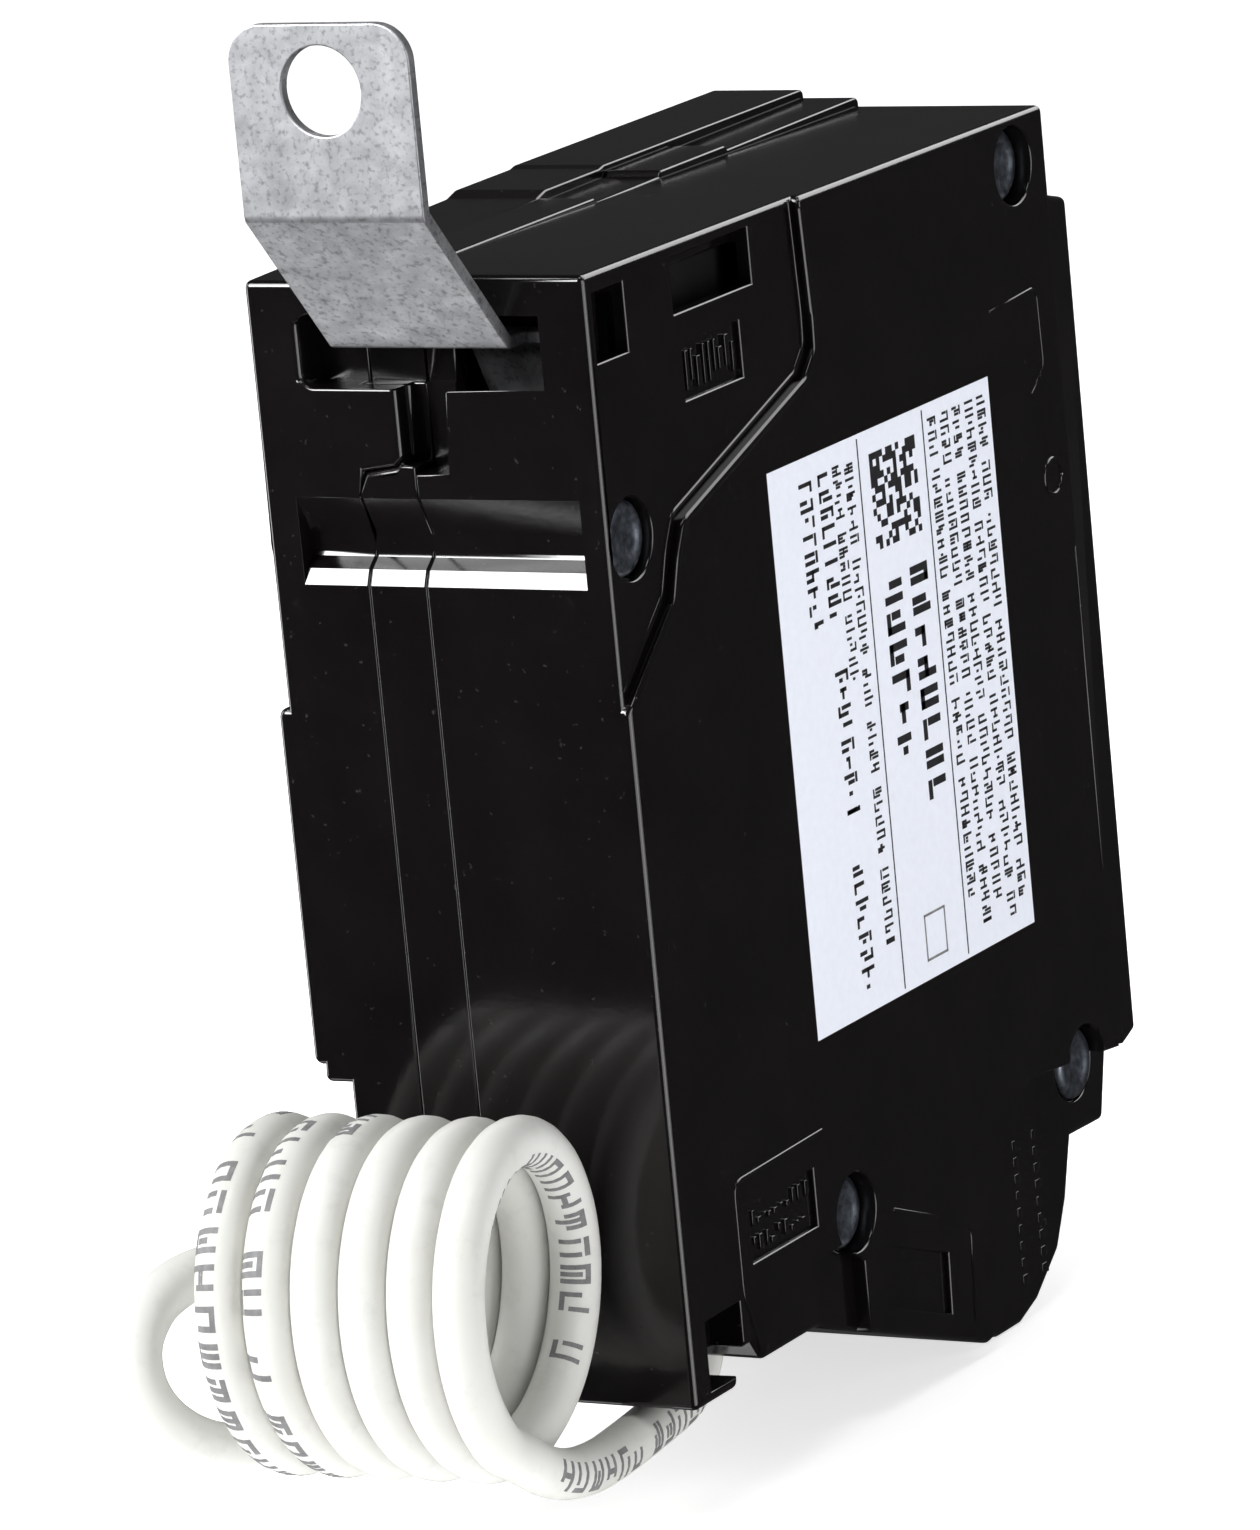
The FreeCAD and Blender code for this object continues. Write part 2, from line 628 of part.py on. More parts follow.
def calibration_screw():
    shank = Part.makeCylinder(1.3, 3.0, Vector(5.5, 5.4, -61.5), Vector(0, 1, 0))
    head = Part.makeCylinder(2.2, 1.2, Vector(5.5, 4.2, -61.5), Vector(0, 1, 0))
    slot = Part.makeBox(5.0, 0.7, 0.7, Vector(3.0, 4.2, -61.85))
    return feature_from("calibration_screw", shank.fuse(head).cut(slot).removeSplitter())


def magnet_yoke():
    body = new_body("magnet_yoke")
    outline = [(0.6, 7.0), (10.6, 7.0), (10.6, 12.6), (9.6, 12.6), (9.6, 8.2), (1.6, 8.2), (1.6, 12.6),
               (0.6, 12.6)]
    pad(body, "XY", -50.0, -41.0, outline)
    seat(body)
    return body


def armature():
    """The magnetic trip plate, hung from its pin, with the cradle's window."""
    y, z = D["armature_axis_y"], D["armature_axis_z"]
    body = new_body("armature")
    pad(body, "XZ", y - 0.5, y + 0.5, rectangle(0.8, 10.4, -50.5, -36.6))
    for low, high in ((0.8, 3.0), (8.2, 10.4)):
        pad(body, "YZ", low, high, rectangle(y - 0.5, y + 0.5, -37.0, z - 1.2))
        pad(body, "YZ", low, high, (y, z, 1.8))
    pocket(body, "YZ", 0.5, 10.9, (y, z, D["armature_pin_radius"] + D["running_gap"]))
    pocket(body, "XZ", y - 1.5, y + 1.5, rectangle(6.9, 9.3, -47.4, -37.2))
    seat(body)
    return body


def armature_pin():
    y, z = D["armature_axis_y"].value, D["armature_axis_z"].value
    radius = D["armature_pin_radius"].value
    axle = cylinder_between(Vector(PIN_LOW, y, z), Vector(PIN_HIGH, y, z), radius)
    return feature_from("armature_pin", axle)


def armature_spring():
    y, z = D["armature_axis_y"].value, D["armature_axis_z"].value
    spring = coil_spring(Vector(3.4, y, z), Vector(1, 0, 0), 4.4, 1.4, 0.24, 7)
    return feature_from("armature_spring", spring)


def flexible_braid():
    """The copper braid from the contact arm's root to the bimetal's free end."""
    route = [(31.2, -31.8), (27.5, -34.4), (22.5, -35.0), (17.8, -31.0), (12.9, -31.6), (11.2, -36.0),
             (11.2, -40.5)]
    points = [Vector(5.0, y, z) for y, z in route]
    return feature_from("flexible_braid", rounded_tube(points, 0.75)[0])


# ---------------------------------------------------------------- terminals and conductors


def load_strap():
    body = new_body("load_strap")
    outline = [(10.4, -59.6), (39.6, -59.6), (39.6, -75.5), (40.6, -75.5), (40.6, -58.6), (10.4, -58.6)]
    pad(body, "YZ", D["load_screw_x"] - 2.0, D["load_screw_x"] + 2.0, outline)
    seat(body)
    return body


def neutral_bus():
    x = D["neutral_screw_x"]
    body = new_body("neutral_bus")
    outline = [(39.6, -75.5), (40.6, -75.5), (40.6, -62.1), (29.4, -62.1), (29.4, -59.8), (13.4, -59.8),
               (13.4, -66.4), (14.2, -66.4), (14.2, -60.6), (28.6, -60.6), (28.6, -62.9), (39.6, -62.9)]
    pad(body, "YZ", x - 0.8, x + 2.4, outline)
    pad(body, "YZ", x + 2.4, 8.2, rectangle(11.0, 14.2, -66.4, -65.4))
    seat(body)
    return body


def terminal(side, x):
    """A box lug with the clamp plate and the slotted screw that press the wire on the strap."""
    z = D["screw_z"]
    lug = new_body(side + "_terminal_lug")
    pad(lug, "XY", z - 4.0, z + 4.0, rectangle(x - 3.7, x + 3.7, 38.4, 48.4))
    pocket(lug, "XY", z - 4.5, z + 4.5, rectangle(x - 2.6, x + 2.6, 39.6, 47.2))
    pocket(lug, "XZ", 47.0, 48.8, (x, z, D["screw_radius"] + 0.05))
    seat(lug)
    block(side + "_clamp_plate", (x - 2.4, x + 2.4), (45.0, 46.0), (z - 3.4, z + 3.4))
    screw = new_body(side + "_terminal_screw")
    pad(screw, "XZ", 46.0, 51.2, (x, z, D["screw_radius"]))
    pad(screw, "XZ", 51.0, 53.2, (x, z, D["screw_head_radius"]))
    pocket(screw, "XZ", 52.2, 53.6, rectangle(x - 4.0, x + 4.0, z - 0.5, z + 0.5))
    seat(screw)


# ---------------------------------------------------------------- trip electronics


def circuit_board():
    return block("circuit_board", (-10.3, -9.3), (8.0, 50.0), (-48.0, -4.0))


def board_chips():
    places = [(16.0, 22.0, -30.0, -24.0), (27.0, 36.0, -28.0, -22.0), (40.0, 46.0, -34.0, -29.0)]
    chips = [Part.makeBox(1.4, y1 - y0, z1 - z0, Vector(-9.3, y0, z0)) for y0, y1, z0, z1 in places]
    return feature_from("board_chips", Part.makeCompound(chips))


def board_capacitors():
    places = [(14.0, -10.0, 2.6, 5.6), (21.0, -10.5, 2.6, 5.6), (28.0, -12.0, 2.0, 4.6)]
    cans = [Part.makeCylinder(r, tall, Vector(-9.3, y, z), Vector(1, 0, 0)) for y, z, r, tall in places]
    return feature_from("board_capacitors", Part.makeCompound(cans))


def board_resistors():
    bodies = []
    for y in (13.0, 17.0, 21.0, 25.0):
        bodies.append(Part.makeBox(0.7, 1.6, 3.2, Vector(-9.3, y, -40.0)))
        bodies.append(Part.makeBox(0.7, 1.6, 3.2, Vector(-9.3, y + 12.0, -44.0)))
    return feature_from("board_resistors", Part.makeCompound(bodies))


def surge_varistor():
    disc = Part.makeCylinder(4.6, 3.2, Vector(-8.6, 40.0, -14.0), Vector(1, 0, 0))
    return feature_from("surge_varistor", disc)


def current_sensor():
    """The ring core that the load strap runs through, and the winding that wraps it."""
    centre = Vector(D["load_screw_x"].value, 0, -59.1)

    def ring(inner, outer, low, high):
        outside = Part.makeCylinder(outer, high - low, centre + Vector(0, low, 0), Vector(0, 1, 0))
        inside = Part.makeCylinder(inner, high - low, centre + Vector(0, low, 0), Vector(0, 1, 0))
        return outside.cut(inside)

    core = ring(2.9, 3.8, 29.7, 32.3)
    feature_from("sensor_core", core)
    feature_from("sensor_winding", ring(2.5, 4.2, 29.3, 32.7).cut(core))


def solenoid():
    """The trip solenoid: frame, winding, plunger with its cross pin, and return spring."""
    x, y = -5.7, 36.0
    frame = Part.makeBox(6.0, 6.4, 8.4, Vector(x - 3.0, y - 3.2, -61.0))
    frame = frame.cut(Part.makeBox(6.0, 4.8, 6.8, Vector(x - 3.0, y - 2.4, -60.2)))
    frame = frame.cut(Part.makeCylinder(1.3, 10.0, Vector(x, y, -62.0)))
    feature_from("solenoid_frame", frame)
    bore = Part.makeCylinder(1.3, 6.6, Vector(x, y, -60.1))
    coil = Part.makeCylinder(2.35, 6.6, Vector(x, y, -60.1)).cut(bore)
    feature_from("solenoid_winding", coil)
    plunger = Part.makeCylinder(1.2, 14.0, Vector(x, y, -62.0))
    pin = cylinder_between(Vector(x, y, -48.5), Vector(9.0, y, -48.5), 0.6)
    feature_from("solenoid_plunger", plunger.fuse(pin).removeSplitter())
    feature_from("solenoid_spring", coil_spring(Vector(x, y, -52.5), Vector(0, 0, 1), 3.3, 1.6, 0.22, 5))


def test_button():
    """The push-to-test button with its shoulder behind the escutcheon."""
    body = new_body("test_button")
    pad(body, "XZ", 59.6, ESCUTCHEON + 1.4, rectangle(-9.1, -3.1, -49.0, -42.0))
    pad(body, "XZ", 59.6, 61.6, rectangle(-9.9, -2.8, -49.4, -41.2))
    front = ESCUTCHEON.value + 1.4
    round_edges(body, 0.5, [(-9.1, front, None), (-3.1, front, None)], Vector(0, 0, 1))
    round_edges(body, 0.5, [(None, front, -49.0), (None, front, -42.0)], Vector(1, 0, 0))
    seat(body)
    return body


def test_spring():
    spring = coil_spring(Vector(-6.4, 53.2, -45.5), Vector(0, 1, 0), 6.3, 1.5, 0.25, 6)
    return feature_from("test_button_spring", spring)


def test_contact():
    """The fixed blade that carries the test button's spring and contact."""
    return block("test_contact_blade", (-9.2, -3.4), (52.4, 53.2), (-48.6, -42.4))


def status_light():
    feature_from("status_led", Part.makeBox(2.6, 2.2, 2.6, Vector(-7.8, 49.6, -55.8)))
    feature_from("light_pipe", Part.makeCylinder(1.25, ESCUTCHEON.value - 51.8, Vector(-6.5, 51.8, -54.5),
                                                 Vector(0, 1, 0)))


# ---------------------------------------------------------------- coiled neutral lead

LEAD_ROUTE = [
    (6.5, 12.0, -66.4),
    (6.5, 12.0, -70.8),
    (6.5, 10.8, -72.7),
    (6.7, 8.4, -73.8),
    (7.1, 4.8, -73.9),
    (7.8, -0.6, -73.9),
    (8.7, -6.6, -73.6),
    (9.3, -12.2, -72.3),
    (9.3, -16.8, -69.4),
]
TAIL_ROUTE = [
    (-9.9, -12.0, -70.9),
    (-11.0, -14.9, -70.2),
    (-12.9, -17.1, -68.1),
    (-14.7, -18.1, -65.0),
    (-15.6, -17.2, -61.9),
    (-15.7, -14.5, -60.2),
    (-15.5, -11.3, -60.2),
    (-15.2, -8.2, -61.2),
    (-15.0, -5.4, -63.0),
]
BARE_LENGTH = 8.0


def rounded_tube(points, radius):
    """A round tube along straight runs joined by arcs, with its length and its tightest arc."""
    edges = []
    tightest = None
    last = points[0]
    for i in range(1, len(points) - 1):
        before = points[i - 1] - points[i]
        after = points[i + 1] - points[i]
        half_turn = (math.pi - before.getAngle(after)) / 2
        cut = 0.45 * min(before.Length, after.Length)
        bend = cut / math.tan(half_turn)
        tightest = bend if tightest is None else min(tightest, bend)
        start = points[i] + before.normalize() * cut
        end = points[i] + after.normalize() * cut
        inward = (before + after).normalize()
        middle = points[i] + inward * (bend / math.cos(half_turn) - bend)
        edges.append(Part.LineSegment(last, start).toShape())
        edges.append(Part.Arc(start, middle, end).toShape())
        last = end
    edges.append(Part.LineSegment(last, points[-1]).toShape())
    path = Part.Wire(edges)
    section = Part.Wire(Part.Circle(points[0], points[1] - points[0], radius).toShape())
    return path.makePipeShell([section], True, True), path.Length, tightest


def neutral_lead():
    """The lead and tail tubes, the coil's outer shape and the stripped end."""
    radius = D["lead_radius"].value
    for label, route in (("pigtail_lead", LEAD_ROUTE), ("pigtail_tail", TAIL_ROUTE)):
        tube, length, tightest = rounded_tube([Vector(*point) for point in route], radius)
        feature_from(label, tube)
        expected = math.pi * radius ** 2 * length
        share = tube.Volume / expected
        print(f"{label}: length {length:.1f}, tightest arc {tightest:.2f}, volume {share:.4f} of ideal")
    high = D["coil_start_x"].value + radius
    length = D["coil_pitch"].value * D["coil_turns"].value + 2 * radius
    centre = Vector(high - length, D["coil_y"].value, D["coil_z"].value)
    coil = new_body("pigtail_coil")
    pad(coil, "YZ", D["coil_start_x"] - D["coil_pitch"] * D["coil_turns"] - D["lead_radius"],
        D["coil_start_x"] + D["lead_radius"],
        (D["coil_y"], D["coil_z"], D["coil_radius"] + D["lead_radius"]),
        (D["coil_y"], D["coil_z"], D["coil_radius"] - D["lead_radius"]))
    seat(coil)
    turn = math.hypot(2 * math.pi * D["coil_radius"].value, D["coil_pitch"].value)
    print(f"coil: {turn * D['coil_turns'].value:.1f} of lead from x {centre.x:.1f} to {high:.1f}")
    end = Vector(*TAIL_ROUTE[-1])
    along = (end - Vector(*TAIL_ROUTE[-2])).normalize()
    feature_from("pigtail_bare_end", cylinder_between(end, end + along * BARE_LENGTH, 1.03))


def lead_grommet():
    """The strain relief ring that the lead leaves the case through."""
    outer = Part.makeCylinder(2.55, 3.0, Vector(6.5, 12.0, -69.7))
    inner = Part.makeCylinder(D["lead_radius"].value, 3.0, Vector(6.5, 12.0, -69.7))
    return feature_from("lead_grommet", outer.cut(inner))


# ---------------------------------------------------------------- build, check and write


def check_document():
    doc.recompute()
    for feature in doc.Objects:
        if "Invalid" in feature.State or "Error" in feature.State:
            raise RuntimeError(f"{feature.Label}: {feature.State}")
        if feature.TypeId == "PartDesign::Pocket":
            before = feature.BaseFeature.Shape.Volume
            if feature.Shape.Volume > before - 1e-3:
                raise RuntimeError(f"{feature.Label} cuts nothing")


def write_parts():
    os.makedirs("parts", exist_ok=True)
    for feature in SUBPARTS:
        shape = feature.Shape
        if shape.isNull() or not shape.isValid():
            raise RuntimeError(f"{feature.Label} has no valid shape")
        shape.exportStep(f"parts/{feature.Label}.step")
        print(f"{feature.Label}: {shape.Volume:.1f} mm3")


def build():
    case_left_shell()
    case_middle_frame()
    case_right_shell()
    case_rivets()
    side_label()
    front_label()
    line_terminal_tab()
    fixed_contact()
    arc_chute_plates()
    arc_chute_walls()
    handle()
    pins()
    contact_arm()
    moving_contact()
    cradle()
    main_spring()
    bimetal()
    bimetal_bracket()
    calibration_screw()
    magnet_yoke()
    armature()
    armature_pin()
    armature_spring()
    flexible_braid()
    load_strap()
    neutral_bus()
    terminal("load", D["load_screw_x"])
    terminal("neutral", D["neutral_screw_x"])
    circuit_board()
    board_chips()
    board_capacitors()
    board_resistors()
    surge_varistor()
    current_sensor()
    solenoid()
    test_button()
    test_spring()
    test_contact()
    status_light()
    neutral_lead()
    lead_grommet()
    check_document()
    write_parts()


build()
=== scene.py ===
"""The looks of a single-pole bolt-on circuit breaker with a coiled neutral lead.

Metres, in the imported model's frame: +Z is the line end, +Y the handle side, +X the label face.
Places are written in millimetres from the case corner where the base meets the line end, at the
middle of the width, and spot() turns them into the frame.
"""

import itertools
import json
import math
import random

import bmesh
import bpy
from mathutils import Matrix, Vector
from mathutils.bvhtree import BVHTree


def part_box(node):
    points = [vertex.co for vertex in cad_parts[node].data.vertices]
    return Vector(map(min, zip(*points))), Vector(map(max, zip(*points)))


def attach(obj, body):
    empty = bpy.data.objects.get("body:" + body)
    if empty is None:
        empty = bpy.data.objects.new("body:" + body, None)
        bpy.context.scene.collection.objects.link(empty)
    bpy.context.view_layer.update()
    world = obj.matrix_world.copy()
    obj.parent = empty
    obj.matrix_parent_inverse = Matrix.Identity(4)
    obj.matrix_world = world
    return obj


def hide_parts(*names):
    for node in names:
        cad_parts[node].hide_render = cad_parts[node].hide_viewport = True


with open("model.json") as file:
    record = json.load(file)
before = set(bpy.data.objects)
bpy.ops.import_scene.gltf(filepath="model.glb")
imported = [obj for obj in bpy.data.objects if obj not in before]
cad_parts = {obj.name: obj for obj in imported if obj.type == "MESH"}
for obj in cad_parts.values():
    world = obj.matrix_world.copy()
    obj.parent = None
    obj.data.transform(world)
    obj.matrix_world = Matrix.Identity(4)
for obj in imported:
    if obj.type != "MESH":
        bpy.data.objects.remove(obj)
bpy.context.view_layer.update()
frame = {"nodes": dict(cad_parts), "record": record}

MM = 0.001
WELD_DISTANCE = 0.002 * MM
FULL_TURN = 2 * math.pi
shell_low, shell_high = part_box("case_right_shell")
CORNER = Vector((0.0, shell_low.y, shell_high.z))


def spot(x, y, z):
    """A point given in millimetres from the case corner, in the frame."""
    return CORNER + Vector((x, y, z)) * MM


# ---------------------------------------------------------------- camera

AIM = spot(11.6, 1.2, -30.7)
CAMERA_AZIMUTH = math.radians(30.37)
CAMERA_ELEVATION = math.radians(12.58)
CAMERA_ROLL = math.radians(-5.45)
CAMERA_DISTANCE = 0.589
LENS = 226.4


def outward(azimuth, elevation):
    """The direction from the object to a place round it: azimuth 0 is in front of the base."""
    flat = math.cos(elevation)
    return Vector((math.sin(azimuth) * flat, -math.cos(azimuth) * flat, math.sin(elevation)))


def make_camera():
    """The view onto the base and the label face together, from a little above."""
    data = bpy.data.cameras.new("camera")
    data.lens = LENS
    data.clip_start = 0.01
    camera = bpy.data.objects.new("camera", data)
    bpy.context.scene.collection.objects.link(camera)
    back = outward(CAMERA_AZIMUTH, CAMERA_ELEVATION)
    turn = (-back).to_track_quat("-Z", "Y").to_matrix() @ Matrix.Rotation(CAMERA_ROLL, 3, "Z")
    camera.matrix_world = Matrix.Translation(AIM + back * CAMERA_DISTANCE) @ turn.to_4x4()
    bpy.context.scene.camera = camera


# ---------------------------------------------------------------- coiled neutral lead

LEAD_RADIUS = 1.6 * MM
LEAD_ROUTE = [
    (6.5, 12.0, -66.4),
    (6.5, 12.0, -70.8),
    (6.5, 10.8, -72.7),
    (6.7, 8.4, -73.8),
    (7.1, 4.8, -73.9),
    (7.8, -0.6, -73.9),
    (8.7, -6.6, -73.6),
    (9.3, -12.2, -72.3),
    (9.3, -16.8, -69.4),
]
TAIL_ROUTE = [
    (-9.9, -13.4, -70.9),
    (-11.0, -16.4, -70.7),
    (-12.5, -19.2, -69.2),
    (-14.1, -20.8, -66.5),
    (-15.0, -20.3, -63.5),
    (-15.4, -17.6, -61.5),
    (-15.4, -14.4, -60.8),
    (-15.2, -11.3, -60.8),
    (-15.0, -8.2, -61.5),
    (-15.0, -5.4, -63.1),
]
COIL_CENTRE = (-12.5, -61.3)
COIL_TILT = math.radians(4.5)
COIL_START_X = 9.6
COIL_PITCH = 3.25
COIL_RADIUS = 9.6
COIL_TURNS = 6
STEPS_PER_TURN = 16
FIRST_STEP = 2
FIRST_TURN_SLACK = 0.4


def coil_points():
    """Control points of the coil's turns, from the lead's end round to the tail's start.

    The smooth curve runs a little inside its control points, so they stand that much further out.
    """
    held_in = 1 - (1 - math.cos(FULL_TURN / STEPS_PER_TURN)) / 4
    points = []
    for step in range(FIRST_STEP, COIL_TURNS * STEPS_PER_TURN):
        turns = step / STEPS_PER_TURN
        angle = FULL_TURN * turns
        radius = (COIL_RADIUS + FIRST_TURN_SLACK * max(0.0, 1.0 - turns)) / held_in
        along = COIL_START_X - COIL_PITCH * turns
        across = -radius * math.sin(angle)
        x = along * math.cos(COIL_TILT) - across * math.sin(COIL_TILT)
        y = COIL_CENTRE[0] + along * math.sin(COIL_TILT) + across * math.cos(COIL_TILT)
        z = COIL_CENTRE[1] - radius * math.cos(angle)
        points.append((x, y, z))
    return points


def make_cord():
    """The neutral lead as one smooth curve: the way to the coil, its turns and the loose tail."""
    points = LEAD_ROUTE + coil_points() + TAIL_ROUTE
    data = bpy.data.curves.new("neutral_lead", "CURVE")
    data.dimensions = "3D"
    spline = data.splines.new("NURBS")
    spline.points.add(len(points) - 1)
    for control, place in zip(spline.points, points):
        control.co = (*spot(*place), 1.0)
    spline.order_u = 3
    spline.use_endpoint_u = True
    data.resolution_u = 6
    data.bevel_depth = LEAD_RADIUS
    data.bevel_resolution = 8
    data.use_fill_caps = True
    data.materials.append(lead_insulation())
    lead = bpy.data.objects.new("neutral_lead", data)
    bpy.context.scene.collection.objects.link(lead)
    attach(lead, "case")
    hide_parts("pigtail_lead", "pigtail_coil", "pigtail_tail")
    return lead


def centre_line(lead):
    """The points that the cord's own smooth curve runs through."""
    data = lead.data.copy()
    data.bevel_depth = 0.0
    thin = bpy.data.objects.new("thin_lead", data)
    mesh = bpy.data.meshes.new_from_object(thin)
    line = [vertex.co.copy() for vertex in mesh.vertices]
    bpy.data.objects.remove(thin)
    bpy.data.curves.remove(data)
    bpy.data.meshes.remove(mesh)
    return line


# ---------------------------------------------------------------- node materials

MIX_FACTOR = 0
MIX_FIRST = 6
MIX_SECOND = 7
MIX_RESULT = 2


class Finish:
    """A node material being put together round one Principled shader."""

    def __init__(self, name, **sockets):
        self.material = bpy.data.materials.new(name)
        self.material.use_nodes = True
        self.tree = self.material.node_tree
        self.shader = self.tree.nodes["Principled BSDF"]
        for socket, value in sockets.items():
            self.shader.inputs[socket.replace("_", " ")].default_value = value
        self.place = self.add("ShaderNodeTexCoord").outputs["Object"]

    def add(self, kind, **values):
        node = self.tree.nodes.new(kind)
        for name, value in values.items():
            setattr(node, name, value)
        return node

    def wire(self, output, target):
        self.tree.links.new(output, target)

    def stretched(self, scales):
        """Object coordinates scaled by a different amount along each axis."""
        mapping = self.add("ShaderNodeMapping")
        mapping.inputs["Scale"].default_value = scales
        self.wire(self.place, mapping.inputs["Vector"])
        return mapping.outputs["Vector"]

    def noise(self, scale, detail=3.0, roughness=0.5, along=None, distortion=0.0):
        texture = self.add("ShaderNodeTexNoise")
        texture.inputs["Scale"].default_value = scale
        texture.inputs["Detail"].default_value = detail
        texture.inputs["Roughness"].default_value = roughness
        texture.inputs["Distortion"].default_value = distortion
        self.wire(self.place if along is None else self.stretched(along), texture.inputs["Vector"])
        return texture.outputs["Fac"]

    def cells(self, scale):
        texture = self.add("ShaderNodeTexVoronoi")
        texture.inputs["Scale"].default_value = scale
        self.wire(self.place, texture.inputs["Vector"])
        return texture.outputs["Distance"]

    def ramp(self, factor, *stops):
        """Colours or grey levels by a factor: each stop is (position, level or colour)."""
        node = self.add("ShaderNodeValToRGB")
        elements = node.color_ramp.elements
        while len(elements) < len(stops):
            elements.new(0.5)
        for element, (position, level) in zip(elements, stops):
            element.position = position
            colour = level if isinstance(level, tuple) else (level, level, level)
            element.color = (*colour, 1.0)
        self.wire(factor, node.inputs["Fac"])
        return node.outputs["Color"]

    def mix(self, kind, factor, first, second):
        """Two colours blended: the node's sockets share their names, so they go by number."""
        node = self.add("ShaderNodeMix", data_type="RGBA", blend_type=kind)
        node.inputs[MIX_FACTOR].default_value = factor
        self.wire(first, node.inputs[MIX_FIRST])
        self.wire(second, node.inputs[MIX_SECOND])
        return node.outputs[MIX_RESULT]

    def colour(self, output):
        self.wire(output, self.shader.inputs["Base Color"])

    def roughness(self, output):
        self.wire(output, self.shader.inputs["Roughness"])

    def bump(self, height, strength, distance):
        """Adds relief on top of whatever relief the shader already has."""
        node = self.add("ShaderNodeBump")
        node.inputs["Strength"].default_value = strength
        node.inputs["Distance"].default_value = distance
        self.wire(height, node.inputs["Height"])
        normal = self.shader.inputs["Normal"]
        if normal.is_linked:
            self.wire(normal.links[0].from_socket, node.inputs["Normal"])
        self.wire(node.outputs["Normal"], normal)


def moulded(name, dark, light, rough=(0.16, 0.34), scratches=0.14, dust=0.02):
    """Glossy moulded plastic with flow marks, fine scuffs, dust specks and a slight orange peel."""
    finish = Finish(name, Specular_IOR_Level=0.5)
    flow = finish.ramp(finish.noise(160, 4, 0.6), (0.3, dark), (0.75, light))
    specks = finish.ramp(finish.noise(2300, 2, 0.5), (0.70, 0.0), (0.78, dust))
    finish.colour(finish.mix("ADD", 1.0, flow, specks))
    levels = finish.ramp(finish.noise(90, 5, 0.65), (0.3, rough[0]), (0.7, rough[1]))
    streaks = finish.noise(220, 6, 0.8, along=(1.0, 9.0, 1.2))
    scuffs = finish.ramp(streaks, (0.62, 0.0), (0.72, scratches))
    finish.roughness(finish.mix("ADD", 1.0, levels, scuffs))
    finish.bump(finish.noise(2600, 2, 0.5), 0.10, 0.03 * MM)
    finish.bump(finish.noise(210, 2, 0.5), 0.10, 0.12 * MM)
    return finish.material


def plated(name, dark, light, rough=(0.28, 0.45), mottle=420, brushed=None):
    """Plated or rolled metal: cloudy, finely speckled and, if brushed, drawn along one way."""
    finish = Finish(name, Metallic=1.0)
    clouds = finish.ramp(finish.noise(mottle, 6, 0.7, distortion=0.6), (0.32, dark), (0.68, light))
    specks = finish.ramp(finish.noise(mottle * 9, 3, 0.6), (0.35, 0.75), (0.6, 1.0))
    finish.colour(finish.mix("MULTIPLY", 0.6, clouds, specks))
    finish.roughness(finish.ramp(finish.noise(mottle * 2, 4, 0.6), (0.3, rough[0]), (0.7, rough[1])))
    if brushed is not None:
        finish.bump(finish.noise(900, 3, 0.6, along=brushed), 0.25, 0.03 * MM)
    finish.bump(finish.noise(mottle * 5, 3, 0.5), 0.12, 0.03 * MM)
    return finish.material


def printed(name, dark, light, rough=0.45):
    """Printing ink or coated paper: near even, with a fine mottle in tone and gloss."""
    finish = Finish(name)
    finish.colour(finish.ramp(finish.noise(1500, 4, 0.6), (0.3, dark), (0.7, light)))
    finish.roughness(finish.ramp(finish.noise(700, 3), (0.3, rough), (0.7, rough + 0.12)))
    finish.bump(finish.noise(3000, 3), 0.08, 0.02 * MM)
    return finish.material


def lead_insulation():
    """Soft extruded vinyl: off-white, lightly handled, with faint draw marks."""
    finish = Finish("lead_insulation", Specular_IOR_Level=0.45)
    grey = (0.68, 0.68, 0.64)
    white = (0.74, 0.74, 0.72)
    tone = finish.ramp(finish.noise(70, 4, 0.6), (0.3, grey), (0.7, white))
    smudges = finish.ramp(finish.noise(420, 5, 0.7), (0.30, 0.84), (0.46, 1.0))
    finish.colour(finish.mix("MULTIPLY", 0.5, tone, smudges))
    finish.roughness(finish.ramp(finish.noise(300, 4), (0.3, 0.30), (0.7, 0.44)))
    finish.bump(finish.noise(1500, 3, 0.6), 0.10, 0.04 * MM)
    return finish.material


def case_black():
    dark = (0.0026, 0.0019, 0.0020)
    light = (0.0046, 0.0036, 0.0037)
    return moulded("case_black", dark, light, rough=(0.11, 0.19))


def rivet_steel():
    dark = (0.16, 0.18, 0.22)
    light = (0.46, 0.50, 0.58)
    return plated("rivet_steel", dark, light, rough=(0.34, 0.55), mottle=1100)


def label_paper():
    return printed("label_paper", (0.79, 0.82, 0.91), (0.83, 0.86, 0.95), rough=0.38)


def front_label():
    return printed("front_label", (0.020, 0.020, 0.022), (0.034, 0.034, 0.036), rough=0.42)


